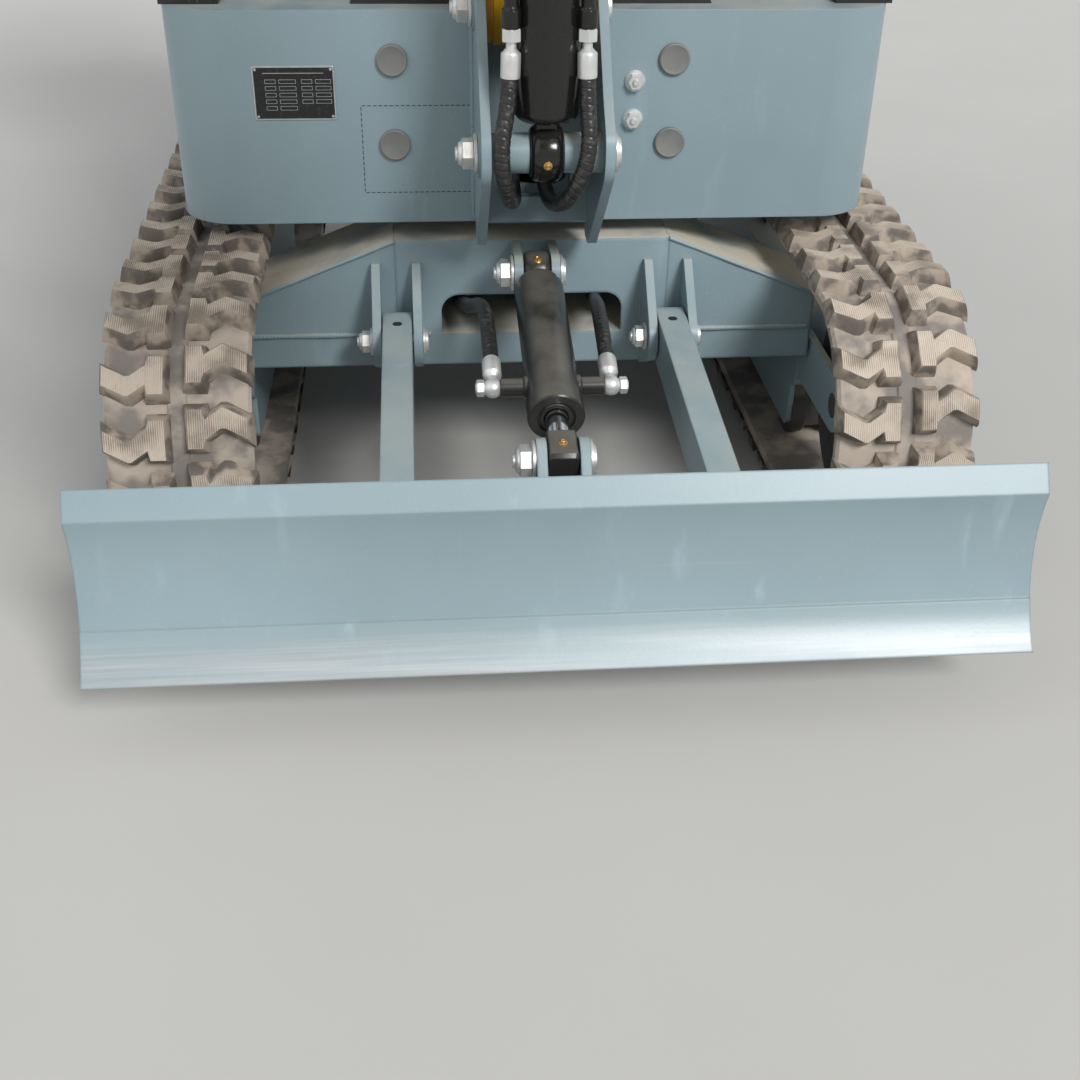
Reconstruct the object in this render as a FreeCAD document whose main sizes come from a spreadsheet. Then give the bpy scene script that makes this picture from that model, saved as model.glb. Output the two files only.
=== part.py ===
# Mini excavator of the 1.7 tonne class: rubber tracks, dozer blade, slewing house with a canopy,
# and a fixed boom bracket that carries boom, arm and bucket.
# Millimetres, +Z up, the ground at Z = 0. The machine faces -Y, and -X is the operator's right.
import FreeCAD, Part
import math
import os
from types import SimpleNamespace

Vec = FreeCAD.Vector
X_AXIS, Y_AXIS, Z_AXIS = Vec(1, 0, 0), Vec(0, 1, 0), Vec(0, 0, 1)

os.makedirs("parts", exist_ok=True)
doc = FreeCAD.newDocument("mini_excavator")

# Driving sizes: name, value in mm or degrees, what it is.
# "ahead" is a distance in front of the slew axis, "height" is above the ground.
SIZES = (
    ("slew_axis_y", 480, "slew axis behind the part's origin"),
    ("track_gauge", 920, "between the centres of the tracks"),
    ("track_width", 180, "width of a rubber track"),
    ("track_pitch", 72, "between lugs, the rubber track's pitch"),
    ("belt_thickness", 20, "rubber belt without lugs"),
    ("core_depth", 7, "from the belt's inside to its steel cores"),
    ("lug_height", 18, "lug above the belt"),
    ("groove_width", 26, "bare strip along the middle of the track"),
    ("wheelbase", 1200, "idler centre to sprocket centre"),
    ("idler_height", 198, "idler centre above the ground"),
    ("idler_radius", 157, "idler rim, which the belt's inside runs on"),
    ("sprocket_height", 207, "sprocket centre above the ground"),
    ("sprocket_radius", 166, "sprocket rim, which the belt's inside runs on"),
    ("roller_radius", 45, "bottom roller"),
    ("roller_margin", 240, "idler or sprocket centre to the nearest bottom roller"),
    ("top_roller_radius", 32, "carrier roller under the top run"),
    ("roller_groove", 9, "depth of the rollers' waist"),
    ("tooth_height", 17, "sprocket's tooth"),
    ("top_run_height", 372, "belt's inside over the carrier roller"),
    ("frame_beam_width", 100, "track frame's beam"),
    ("centre_half_width", 192, "centre frame box, middle to side"),
    ("front_plate_ahead", 465, "front face of the centre frame"),
    ("centre_top", 399, "top of the centre frame"),
    ("centre_bottom", 213, "bottom of the centre frame"),
    ("leg_outer_height", 312, "top of a leg at the track frame"),
    ("leg_depth", 150, "leg, front to back"),
    ("frame_wall", 10, "plates of the centre frame's box"),
    ("swivel_radius", 58, "rotary joint for the hoses, inside the slew bearing"),
    ("opening_half_width", 129, "hose opening in the front plate"),
    ("opening_bottom", 261, "hose opening's lower edge"),
    ("opening_top", 319, "hose opening's upper edge"),
    ("bearing_radius", 235, "slew bearing's outer ring"),
    ("plate", 12, "heavy plate, as in the lifting gear's ears"),
    ("sheet_metal", 6, "covers and panels"),
    ("pin_clearance", 0.05, "radial gap of a pin in its hole"),
    ("side_clearance", 1, "gap beside an eye between its ears"),
    ("blade_pin_ahead", 521, "blade arms' pin"),
    ("blade_pin_height", 275, "blade arms' pin"),
    ("blade_arm_offset", 191, "blade arm's centre from the middle"),
    ("blade_arm_width", 40, "blade arm's tube across"),
    ("blade_arm_height", 66, "blade arm's tube, height"),
    ("blade_width", 1100, "blade, as wide as the tracks"),
    ("blade_thickness", 9, "blade's plate"),
    ("lip_ahead", 978, "blade's upper edge"),
    ("lip_height", 310, "blade's upper edge"),
    ("fold_ahead", 998, "blade's fold line below its upper edge"),
    ("fold_height", 280, "blade's fold line"),
    ("edge_ahead", 1046, "cutting edge"),
    ("edge_height", 92, "cutting edge, blade lifted"),
    ("blade_hollow", 26, "depth of the blade's hollow face"),
    ("cutter_height", 60, "wear strip along the cutting edge"),
    ("cutter_thickness", 2, "wear strip, proud of the blade's plate"),
    ("blade_beam_depth", 42, "box beam behind the blade"),
    ("blade_cylinder_ahead", 528, "blade cylinder's rear pin"),
    ("blade_cylinder_height", 375, "blade cylinder's rear pin"),
    ("blade_rod_ahead", 911, "blade cylinder's pin on the blade"),
    ("blade_rod_height", 294, "blade cylinder's pin on the blade"),
    ("blade_barrel_radius", 33, "blade cylinder's barrel"),
    ("blade_barrel_length", 316, "blade cylinder's barrel from its pin"),
    ("blade_piston_rod", 14, "blade cylinder's rod, radius"),
    ("port_reach", 73, "blade cylinder's hose fittings, middle to side"),
    ("hose_radius", 9.5, "hydraulic hose with its spiral guard"),
    ("pipe_radius", 6, "steel pipe along a cylinder"),
    ("small_eye_width", 36, "eye of the blade cylinder"),
    ("small_pin", 12, "pin radius on the blade"),
    ("pin_radius", 15, "pin radius on the lifting gear"),
    ("eye_width", 40, "eye of a lifting cylinder"),
    ("bush_radius", 24, "bosses welded inside the ears"),
    ("ear_inner", 68, "boom bracket's ears, middle to inner face"),
    ("boom_foot_ahead", 501, "boom's foot pin"),
    ("boom_foot_height", 712, "boom's foot pin"),
    ("boom_cylinder_ahead", 639, "boom cylinder's foot pin"),
    ("boom_cylinder_height", 570, "boom cylinder's foot pin"),
    ("boom_angle", 63, "boom's chord above level, as parked"),
    ("boom_length", 1700, "boom's chord, foot pin to arm pin"),
    ("boom_width", 116, "boom's box section across"),
    ("boom_wall", 8, "plates of the boom's box"),
    ("boom_rod_along", 715, "boom cylinder's rod pin, along the boom's chord"),
    ("boom_rod_up", 212, "boom cylinder's rod pin, above the chord"),
    ("arm_cylinder_along", 700, "arm cylinder's pin, along the boom's chord"),
    ("arm_cylinder_up", 545, "arm cylinder's pin, above the chord"),
    ("boom_barrel_radius", 39.5, "boom cylinder's barrel"),
    ("boom_barrel_length", 495, "boom cylinder's barrel from its pin"),
    ("boom_piston_rod", 17.5, "boom cylinder's rod, radius"),
    ("arm_angle", 60, "arm to the boom's chord, as parked"),
    ("arm_length", 950, "arm pin to bucket pin"),
    ("arm_width", 88, "arm's box section across"),
    ("arm_wall", 7, "plates of the arm's box"),
    ("arm_horn", 240, "arm pin to arm cylinder's rod pin"),
    ("arm_horn_angle", 190, "from the arm's line to its horn"),
    ("arm_barrel_radius", 35, "arm cylinder's barrel"),
    ("arm_barrel_length", 880, "arm cylinder's barrel from its pin"),
    ("arm_piston_rod", 16, "arm cylinder's rod, radius"),
    ("bucket_cylinder_down", 60, "bucket cylinder's pin below the arm pin"),
    ("bucket_cylinder_front", 152, "bucket cylinder's pin in front of the arm's line"),
    ("rocker_pin_up", 210, "rocker's pin above the bucket pin"),
    ("rocker_pin_front", 30, "rocker's pin in front of the arm's line"),
    ("rocker_length", 215, "rocker, pin to pin"),
    ("link_length", 225, "bucket link, pin to pin"),
    ("bucket_pin_spacing", 155, "bucket's two pins"),
    ("bucket_pin_angle", 100, "from the teeth's line to the second pin"),
    ("bucket_angle", 121, "bucket's curl from the arm's line, as parked"),
    ("bucket_width", 400, "bucket over its side plates"),
    ("bucket_reach", 470, "bucket pin to the tips of the teeth"),
    ("bucket_depth", 262, "bucket's floor from the line of its mouth"),
    ("bucket_barrel_radius", 32, "bucket cylinder's barrel"),
    ("bucket_barrel_length", 530, "bucket cylinder's barrel from its pin"),
    ("bucket_piston_rod", 15, "bucket cylinder's rod, radius"),
    ("house_half_width", 482, "house, middle to side"),
    ("panel_ahead", 453, "front panel of the house"),
    ("panel_bottom", 422, "lower edge of the front panel"),
    ("deck_height", 700, "top of the deck"),
    ("belly_height", 440, "underside of the house over the bearing"),
    ("house_corner", 80, "radius of the front corners"),
    ("tow_eye_radius", 13, "hole in the tow lug"),
    ("cap_radius", 20.6, "round caps on the front panel"),
    ("tail_radius", 950, "tail from the slew axis"),
    ("bay_front_behind", 130, "engine bay's front behind the slew axis"),
    ("counterweight_bottom", 482, "underside of the counterweight"),
    ("counterweight_top", 770, "top of the counterweight"),
    ("hood_top", 1130, "top of the engine hood"),
    ("hood_corner", 70, "radius along the hood's upper edges"),
    ("hinge_radius", 9, "knuckles of the hood's hinges"),
    ("console_height", 280, "side consoles above the deck"),
    ("roof_height", 2180, "underside of the canopy's roof"),
    ("roof_thickness", 50, "canopy's roof"),
    ("post_radius", 24, "canopy's posts"),
    ("rail_radius", 17, "rails under the canopy's roof"),
)

sheet = doc.addObject("Spreadsheet::Sheet", "sizes")
for row, (alias, value, note) in enumerate(SIZES, start=1):
    sheet.set(f"A{row}", alias)
    sheet.set(f"B{row}", str(value))
    sheet.setAlias(f"B{row}", alias)
    sheet.set(f"C{row}", note)
doc.recompute()
S = SimpleNamespace(**{alias: float(sheet.get(alias)) for alias, _, _ in SIZES})

SIDES = (("left", 1), ("right", -1))
NODES = []


# Shapes from outlines

def ahead(distance):
    """Y of a place that lies this far in front of the slew axis."""
    return S.slew_axis_y - distance


def outline(corners, place):
    """Closed wire through (a, b, radius) corners, rounded where the radius isn't 0."""
    ends = []
    count = len(corners)
    for index, (a, b, radius) in enumerate(corners):
        corner = Vec(a, b, 0)
        before = Vec(*corners[index - 1][:2], 0) - corner
        after = Vec(*corners[(index + 1) % count][:2], 0) - corner
        if radius == 0:
            ends.append((corner, corner, corner))
            continue
        before.normalize()
        after.normalize()
        half = before.getAngle(after) / 2
        middle = (before + after).normalize()
        reach = radius / math.tan(half)
        top = corner + middle * (radius / math.sin(half) - radius)
        ends.append((corner + before * reach, top, corner + after * reach))
    edges = []
    for index, (start, top, end) in enumerate(ends):
        last = ends[index - 1][2]
        if (start - last).Length > 1e-6:
            edges.append(Part.makeLine(place(last), place(start)))
        if (end - start).Length > 1e-6:
            edges.append(Part.Arc(place(start), place(top), place(end)).toShape())
    return Part.Wire(edges)


def inset(corners, wall):
    """The same corners moved inwards by a wall, their radii cut by as much."""
    count = len(corners)
    area = sum(cross((0, 0), corners[index - 1], corners[index]) for index in range(count))
    lines = []
    for index, (a, b, _) in enumerate(corners):
        a_next, b_next, _ = corners[(index + 1) % count]
        length = math.hypot(a_next - a, b_next - b)
        shift = math.copysign(wall, area) / length
        lines.append((a - (b_next - b) * shift, b + (a_next - a) * shift, a_next - a, b_next - b))
    moved = []
    for index, (_, _, radius) in enumerate(corners):
        a, b, along_a, along_b = lines[index]
        c, d, past_a, past_b = lines[index - 1]
        travel = ((c - a) * past_b - (d - b) * past_a) / (along_a * past_b - along_b * past_a)
        moved.append((a + along_a * travel, b + along_b * travel, max(radius - wall, 0)))
    return moved


def anticlockwise(circles):
    """Circles in the order that hull_path needs, found by their convex hull."""
    rim = []
    for number, (a, b, radius) in enumerate(circles):
        for part in range(24):
            angle = 2 * math.pi * part / 24
            rim.append((a + radius * math.cos(angle), b + radius * math.sin(angle), number))
    rim.sort()

    def half(points):
        chain = []
        for point in points:
            while len(chain) > 1 and cross(chain[-2], chain[-1], point) <= 0:
                chain.pop()
            chain.append(point)
        return chain[:-1]

    order = []
    for _, _, number in half(rim) + half(rim[::-1]):
        if not order or order[-1] != number:
            order.append(number)
    if order[0] == order[-1]:
        order.pop()
    return [circles[number] for number in order]


def cross(one, two, three):
    return (two[0] - one[0]) * (three[1] - one[1]) - (two[1] - one[1]) * (three[0] - one[0])


def hull_path(circles, grow=0):
    """Lines and arcs round (a, b, radius) circles that are listed anticlockwise."""
    tangents = []
    count = len(circles)
    for index, (a, b, radius) in enumerate(circles):
        a_next, b_next, radius_next = circles[(index + 1) % count]
        line = Vec(a_next - a, b_next - b, 0)
        slope = (radius - radius_next) / line.Length
        unit = line.normalize()
        normal = unit * slope + Vec(unit.y, -unit.x, 0) * math.sqrt(1 - slope * slope)
        start = Vec(a, b, 0) + normal * (radius + grow)
        end = Vec(a_next, b_next, 0) + normal * (radius_next + grow)
        tangents.append((start, end, normal))
    path = []
    for index, (start, end, normal) in enumerate(tangents):
        _, arrive, normal_before = tangents[index - 1]
        a, b, radius = circles[index]
        first = math.atan2(normal_before.y, normal_before.x)
        sweep = (math.atan2(normal.y, normal.x) - first) % (2 * math.pi)
        if sweep > 1e-6 and radius + grow > 0:
            path.append(("arc", Vec(a, b, 0), radius + grow, first, sweep))
        path.append(("line", start, end, normal, 0))
    return path


def path_wire(path, place):
    """Wire along a path from hull_path."""
    edges = []
    for kind, one, two, three, sweep in path:
        if kind == "line":
            edges.append(Part.makeLine(place(one), place(two)))
            continue
        rim = [one + Vec(math.cos(three + sweep * part), math.sin(three + sweep * part), 0) * two
               for part in (0, 0.5, 1)]
        edges.append(Part.Arc(*[place(point) for point in rim]).toShape())
    return Part.Wire(edges)


def side_view(x):
    """Places an outline drawn as (y, z) at this x."""
    return lambda point: Vec(x, point.x, point.y)


def front_view(y):
    """Places an outline drawn as (x, z) at this y."""
    return lambda point: Vec(point.x, y, point.y)


def plan_view(z):
    """Places an outline drawn as (x, y) at this z."""
    return lambda point: Vec(point.x, point.y, z)


# Document objects whose sizes follow the sheet

def bind(thing, name, value):
    """Ties a property to a formula in the sheet's names, or sets a worked out number."""
    if isinstance(value, str):
        thing.setExpression(name, value)
    else:
        setattr(thing, name, value)


def extruded(name, wire, direction, length, centred=False):
    """Solid over a closed wire, its length a formula in the sheet's names."""
    profile = doc.addObject("Part::Feature", name + "_outline")
    profile.Shape = wire
    solid = doc.addObject("Part::Extrusion", name)
    solid.Base = profile
    solid.DirMode = "Custom"
    solid.Dir = direction
    solid.Solid = True
    solid.Symmetric = centred
    bind(solid, "LengthFwd", length)
    return solid


def side_plate(name, corners, x, width):
    """Plate with a side outline, centred on x."""
    return extruded(name, outline(corners, side_view(x)), X_AXIS, width, True)


def lobed_plate(name, circles, x, width):
    """Plate whose side outline is stretched round circles, centred on x."""
    path = hull_path(anticlockwise(circles))
    return extruded(name, path_wire(path, side_view(x)), X_AXIS, width, True)


def front_plate(name, corners, y, depth):
    """Plate with a front outline, from y backwards."""
    return extruded(name, outline(corners, front_view(y)), Y_AXIS, depth)


def plan_plate(name, corners, z, height):
    """Plate with a plan outline, from z upwards."""
    return extruded(name, outline(corners, plan_view(z)), Z_AXIS, height)


def cylinder(name, start, direction, radius, length):
    """Round bar from a point, its radius and length formulas in the sheet's names."""
    bar = doc.addObject("Part::Cylinder", name)
    bar.Placement = FreeCAD.Placement(Vec(*start), FreeCAD.Rotation(Z_AXIS, Vec(*direction)))
    bind(bar, "Radius", radius)
    bind(bar, "Height", length)
    return bar


def cross_bar(name, pivot, radius, length, x=0):
    """Round bar along X, centred on x, at a (y, z) pivot."""
    return cylinder(name, (x - length / 2, *pivot), (1, 0, 0), radius, length)


def box(name, low, high):
    """Block between two corners."""
    block = doc.addObject("Part::Box", name)
    block.Placement.Base = Vec(*low)
    block.Length = high[0] - low[0]
    block.Width = high[1] - low[1]
    block.Height = high[2] - low[2]
    return block


def joined(name, pieces):
    """One solid, or one set of solids, from pieces."""
    union = doc.addObject("Part::MultiFuse", name)
    union.Shapes = pieces
    union.Refine = True
    return union


def without(name, solid, tools):
    """A solid with tools cut away."""
    cut = doc.addObject("Part::Cut", name)
    cut.Base = solid
    cut.Tool = tools[0] if len(tools) == 1 else joined(name + "_tools", tools)
    cut.Refine = True
    return cut


def group(name, pieces):
    """Pieces that don't touch, kept in one sub-part."""
    compound = doc.addObject("Part::Compound", name)
    compound.Links = pieces
    return compound


def node(label, solid):
    """Marks a finished sub-part, whose label names its file."""
    solid.Label = label
    NODES.append(solid)
    return solid


def hexagon(name, start, radius, reach):
    """Hexagon nut along X from a place, as far as this."""
    x, y, z = start
    corners = [Vec(x, y + radius * math.cos(math.pi * turn / 3), z + radius * math.sin(math.pi * turn / 3))
               for turn in range(6)]
    return extruded(name, Part.makePolygon(corners + corners[:1]), X_AXIS, reach)


def pinned(name, pivots, half_span, radius):
    """Pins along X, each with a washer at both ends and a hexagon nut on the operator's right."""
    pieces = []
    for number, (pivot, x) in enumerate(pivots, start=1):
        part = f"{name}_{number}"
        reach = half_span + PIN_GAP + WASHER
        shaft = cross_bar(part + "_shaft", pivot, radius, 2 * reach, x)
        washers = [cylinder(f"{part}_washer_{side}", (x + sign * reach, *pivot), (-sign, 0, 0),
                            radius * 1.6, WASHER) for side, sign in SIDES]
        nut = hexagon(part + "_nut", (x - reach, *pivot), radius * 1.25, -radius * 1.3)
        pieces.append(joined(part, [shaft, *washers, nut]))
    return pieces


PIN_GAP = 0.2
WASHER = 4
HOLE = S.pin_clearance


# Pivots as (y, z) in the parked pose

def along(origin, unit_a, unit_b, a, b):
    """The (y, z) of a place given as distances along two directions from an origin."""
    return (origin[0] + a * unit_a[0] + b * unit_b[0], origin[1] + a * unit_a[1] + b * unit_b[1])


def heading(angle):
    """Direction as (y, z) of an angle in degrees above level, towards the front."""
    return (-math.cos(math.radians(angle)), math.sin(math.radians(angle)))


def distance(one, two):
    return math.hypot(two[0] - one[0], two[1] - one[1])


BLADE_PIN = (ahead(S.blade_pin_ahead), S.blade_pin_height)
BLADE_CYLINDER_PIN = (ahead(S.blade_cylinder_ahead), S.blade_cylinder_height)
BLADE_ROD_PIN = (ahead(S.blade_rod_ahead), S.blade_rod_height)
BOOM_PIN = (ahead(S.boom_foot_ahead), S.boom_foot_height)
BOOM_CYLINDER_PIN = (ahead(S.boom_cylinder_ahead), S.boom_cylinder_height)

CHORD, CHORD_UP = heading(S.boom_angle), heading(S.boom_angle + 90)
ARM_DOWN = heading(S.boom_angle + 180 + S.arm_angle)
ARM_FRONT = heading(S.boom_angle + 180 + S.arm_angle + 90)
BUCKET_ANGLE = S.boom_angle + 180 + S.arm_angle - S.bucket_angle
TEETH, SHELL_SIDE = heading(BUCKET_ANGLE), heading(BUCKET_ANGLE + 90)


def boom_place(x, up):
    """Place on the boom: x along its chord from the foot pin, up on its top side."""
    return along(BOOM_PIN, CHORD, CHORD_UP, x, up)


ARM_PIN = boom_place(S.boom_length, 0)


def arm_place(down, front):
    """Place on the arm: down from the arm pin to the bucket, front on its cylinder's side."""
    return along(ARM_PIN, ARM_DOWN, ARM_FRONT, down, front)


BUCKET_PIN = arm_place(S.arm_length, 0)


def bucket_place(reach, depth):
    """Place on the bucket: reach towards the teeth, depth on the side of its floor."""
    return along(BUCKET_PIN, TEETH, SHELL_SIDE, reach, depth)

def rocker_knee():
    """Pin between rocker and bucket link, where their circles cross on the arm's front side."""
    reach = distance(ROCKER_PIN, BUCKET_LINK_PIN)
    angle = math.degrees(math.acos((S.rocker_length ** 2 + reach ** 2 - S.link_length ** 2)
                                   / (2 * S.rocker_length * reach)))
    base = math.degrees(math.atan2(BUCKET_LINK_PIN[1] - ROCKER_PIN[1],
                                   -(BUCKET_LINK_PIN[0] - ROCKER_PIN[0])))
    return along(ROCKER_PIN, heading(base + angle), (0, 0), S.rocker_length, 0)


HORN_PIN = along(ARM_PIN, heading(S.boom_angle + 180 + S.arm_angle - S.arm_horn_angle), (0, 0),
                 S.arm_horn, 0)
ROCKER_PIN = arm_place(S.arm_length - S.rocker_pin_up, S.rocker_pin_front)
BUCKET_LINK_PIN = along(BUCKET_PIN, heading(BUCKET_ANGLE + S.bucket_pin_angle), (0, 0),
                        S.bucket_pin_spacing, 0)
KNEE_PIN = rocker_knee()
BOOM_ROD_PIN = boom_place(S.boom_rod_along, S.boom_rod_up)
ARM_CYLINDER_PIN = boom_place(S.arm_cylinder_along, S.arm_cylinder_up)
BUCKET_CYLINDER_PIN = arm_place(S.bucket_cylinder_down, S.bucket_cylinder_front)


def circle(pivot, radius):
    return (pivot[0], pivot[1], radius)


# Undercarriage

TOW_HEIGHT = 292


def centre_frame():
    """Welded box with a hose opening in front, four sloping legs beside it, and a tow lug behind."""
    front, rear = ahead(S.front_plate_ahead), ahead(-S.front_plate_ahead)
    half, top, bottom, wall = S.centre_half_width, S.centre_top, S.centre_bottom, S.frame_wall
    beam_side = (S.track_gauge - S.frame_beam_width) / 2
    body = plan_plate("centre_body", [(-half, front, 0), (half, front, 0), (half, rear, 0),
                                      (-half, rear, 0)], bottom,
                      "sizes.centre_top - sizes.centre_bottom")
    legs = []
    for side, sign in SIDES:
        corners = [(sign * half, bottom, 0), (sign * beam_side, bottom, 0),
                   (sign * beam_side, S.leg_outer_height, 0), (sign * half, top, 0)]
        for end, y in (("front", front), ("rear", rear - S.leg_depth)):
            legs.append(front_plate(f"leg_{end}_{side}", corners, y, "sizes.leg_depth"))
    node("frame_legs", group("frame_legs", legs))
    lug = plan_plate("tow_lug_plate", [(-45, rear, 0), (45, rear, 0), (30, rear + 56, 28),
                                       (-30, rear + 56, 28)], TOW_HEIGHT, 16)
    tow_hole = cylinder("tow_hole", (0, rear + 28, TOW_HEIGHT - 5), (0, 0, 1), "sizes.tow_eye_radius",
                        26)
    node("tow_lug", without("tow_lug", lug, [tow_hole]))
    wide = S.opening_half_width
    mouth = front_plate("hose_opening", [(-wide, S.opening_bottom, 0), (wide, S.opening_bottom, 0),
                                         (wide, S.opening_top, 25), (-wide, S.opening_top, 25)],
                        front - 1, "sizes.frame_wall + 2")
    inside = plan_plate("centre_hollow", [(wall - half, front + wall, 0), (half - wall, front + wall, 0),
                                          (half - wall, rear - wall, 0), (wall - half, rear - wall, 0)],
                        S.opening_bottom, "sizes.centre_top - sizes.opening_bottom - sizes.frame_wall")
    well = cylinder("frame_well", (0, S.slew_axis_y, top - wall - 1), (0, 0, 1),
                    "sizes.bearing_radius - 85", wall * 2)
    return node("centre_frame", without("centre_frame", body, [mouth, inside, well]))


def bearing():
    """Slew bearing's outer ring, and the rotary joint that stands inside it."""
    floor = (0, S.slew_axis_y, S.centre_top)
    height = "sizes.belly_height - sizes.centre_top - 3.3"
    ring = cylinder("bearing_ring", floor, (0, 0, 1), "sizes.bearing_radius", height)
    hole = cylinder("bearing_hole", floor, (0, 0, 1), "sizes.bearing_radius - 50", height)
    swivel = cylinder("rotary_joint", (0, S.slew_axis_y, S.opening_bottom), (0, 0, 1),
                      "sizes.swivel_radius", "sizes.belly_height - sizes.opening_bottom - 4")
    outer = without("bearing_outer", ring, [hole])
    return node("slew_bearing", group("slew_bearing", [outer, swivel]))


def track_circles():
    """Circles that the belt's inside runs round: idler, rollers, sprocket and carrier roller."""
    rail = S.lug_height + S.belt_thickness
    end = ROLLERS[0]
    return [(ahead(S.wheelbase / 2), S.idler_height, S.idler_radius),
            (ahead(end), rail + S.roller_radius, S.roller_radius),
            (ahead(-end), rail + S.roller_radius, S.roller_radius),
            (ahead(-S.wheelbase / 2), S.sprocket_height, S.sprocket_radius),
            (ahead(0), S.top_run_height - S.top_roller_radius, S.top_roller_radius)]


ROLLERS = [(S.wheelbase / 2 - S.roller_margin) * (1 - number * 2 / 3) for number in range(4)]


def path_length(path):
    return sum((two - one).Length if kind == "line" else two * sweep
               for kind, one, two, _, sweep in path)


def path_spot(path, travel):
    """Point and outward normal at a distance along a path."""
    for kind, one, two, three, sweep in path:
        length = (two - one).Length if kind == "line" else two * sweep
        if travel <= length:
            break
        travel -= length
    if kind == "line":
        return one + (two - one) * (travel / length), three
    angle = three + travel / two
    normal = Vec(math.cos(angle), math.sin(angle), 0)
    return one + normal * two, normal


def track(side, sign):
    """Rubber track: one closed belt with two rows of slanting lugs beside a bare groove."""
    x = sign * S.track_gauge / 2
    half = S.track_width / 2
    inside = hull_path(track_circles())
    outside = hull_path(track_circles(), S.belt_thickness)
    place = side_view(x - half)
    loop = Part.Face([path_wire(outside, place), path_wire(inside, place).reversed()])
    loop.validate()
    belt = loop.extrude(Vec(S.track_width, 0, 0))
    sink = 6
    inner, outer = S.groove_width / 2, half
    lugs = []
    count = round(path_length(hull_path(track_circles(), S.belt_thickness / 2)) / S.track_pitch)
    step = path_length(outside) / count
    for row, shift in ((1, 0.0), (-1, 12.0)):
        shape = [(inner, -16), (outer, -30), (outer, 0), (inner, 18)]
        corners = [Vec(row * across, length, -sink) for across, length in shape]
        lug = Part.Face(Part.makePolygon(corners + corners[:1])).extrude(
            Vec(0, 0, S.lug_height + sink))
        for number in range(count):
            spot, normal = path_spot(outside, (number * step + shift) % path_length(outside))
            copy = lug.copy()
            turn = math.degrees(math.atan2(-normal.x, normal.y))
            copy.Placement = FreeCAD.Placement(Vec(x, spot.x, spot.y),
                                               FreeCAD.Rotation(X_AXIS, turn))
            lugs.append(copy)
    feature = doc.addObject("Part::Feature", f"track_{side}")
    feature.Shape = belt.multiFuse(lugs)
    return node(f"track_{side}", feature)


def track_frame(side, sign):
    """Beam inside the track, with side plates that hold the rollers' shafts."""
    x = sign * S.track_gauge / 2
    half = S.frame_beam_width / 2
    roller_height = S.lug_height + S.belt_thickness + S.roller_radius
    low, high = roller_height + S.roller_radius + 8, 262
    front, back = ahead(ROLLERS[0] + 60), ahead(-ROLLERS[0] - 60)
    beam = side_plate(f"beam_{side}", [(front, low, 20), (back, low, 20), (back, high, 30),
                                       (front, high, 30)], x, "sizes.frame_beam_width")
    cheeks = [side_plate(f"cheek_{side}_{number}",
                         [(front + 20, roller_height - 20, 15), (back - 20, roller_height - 20, 15),
                          (back - 20, high - 20, 0), (front + 20, high - 20, 0)],
                         x + offset * (half - 4), 8) for number, offset in ((1, -1), (2, 1))]
    stand = box(f"carrier_stand_{side}", (x - 15, ahead(20), high - 1),
                (x + 15, ahead(-20), S.top_run_height - 2 * S.top_roller_radius))
    idler_centre = (ahead(S.wheelbase / 2), S.idler_height)
    forks = [lobed_plate(f"fork_{side}_{number}", [circle(idler_centre, 38),
                                                   (front + 30, S.idler_height - 36, 4),
                                                   (front + 30, S.idler_height + 36, 4)],
                         x + offset * 40, 12) for number, offset in ((1, -1), (2, 1))]
    drive_centre = (ahead(-S.wheelbase / 2), S.sprocket_height)
    drive = lobed_plate(f"drive_plate_{side}", [circle(drive_centre, 112), (back - 60, high - 40, 9),
                                                (back - 60, low + 20, 9)], x - sign * 40, 12)
    hole = cross_bar(f"idler_shaft_hole_{side}", idler_centre, 18 + HOLE, 300, x)
    welded = joined(f"track_frame_welded_{side}", [beam, *cheeks, stand, *forks, drive])
    return node(f"track_frame_{side}", without(f"track_frame_{side}", welded, [hole]))


def idler(side, sign):
    """Front idler: a rimmed wheel on the track frame's fork."""
    x = sign * S.track_gauge / 2
    centre = (ahead(S.wheelbase / 2), S.idler_height)
    rim = S.idler_radius - HOLE
    profile = outline([(0, -46, 0), (18, -46, 0), (18, -33, 0), (45, -33, 0), (52, -14, 0),
                       (rim - 22, -14, 0), (rim - 4, -22, 0), (rim, -18, 0), (rim, 18, 0),
                       (rim - 4, 22, 0), (rim - 22, 14, 0), (52, 14, 0), (45, 33, 0),
                       (18, 33, 0), (18, 46, 0), (0, 46, 0)],
                      lambda point: Vec(x + point.y, centre[0], centre[1] + point.x))
    wheel = doc.addObject("Part::Feature", f"idler_wheel_{side}")
    wheel.Shape = Part.Face(profile).revolve(Vec(x, *centre), X_AXIS, 360)
    return node(f"idler_{side}", wheel)


def sprocket(side, sign):
    """Rear sprocket, toothed for the belt's steel cores, with its drive motor's drum."""
    x = sign * S.track_gauge / 2
    centre = (ahead(-S.wheelbase / 2), S.sprocket_height)
    tip = S.sprocket_radius - HOLE
    count = round(2 * math.pi * (S.sprocket_radius + S.core_depth) / S.track_pitch)
    corners = []
    for tooth in range(count):
        for share, radius in TOOTH_FLANKS:
            angle = 2 * math.pi * (tooth + share) / count
            corners.append((centre[0] + (tip - radius * S.tooth_height) * math.cos(angle),
                            centre[1] + (tip - radius * S.tooth_height) * math.sin(angle), 0))
    wheel = side_plate(f"sprocket_wheel_{side}", corners, x, 26)
    drum = cylinder(f"sprocket_drum_{side}", (x - sign * 34, *centre), (sign, 0, 0), 95, 76)
    cap = cylinder(f"sprocket_cap_{side}", (x + sign * 41, *centre), (sign, 0, 0), 70, 26)
    return node(f"sprocket_{side}", joined(f"sprocket_{side}", [wheel, drum, cap]))


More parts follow.
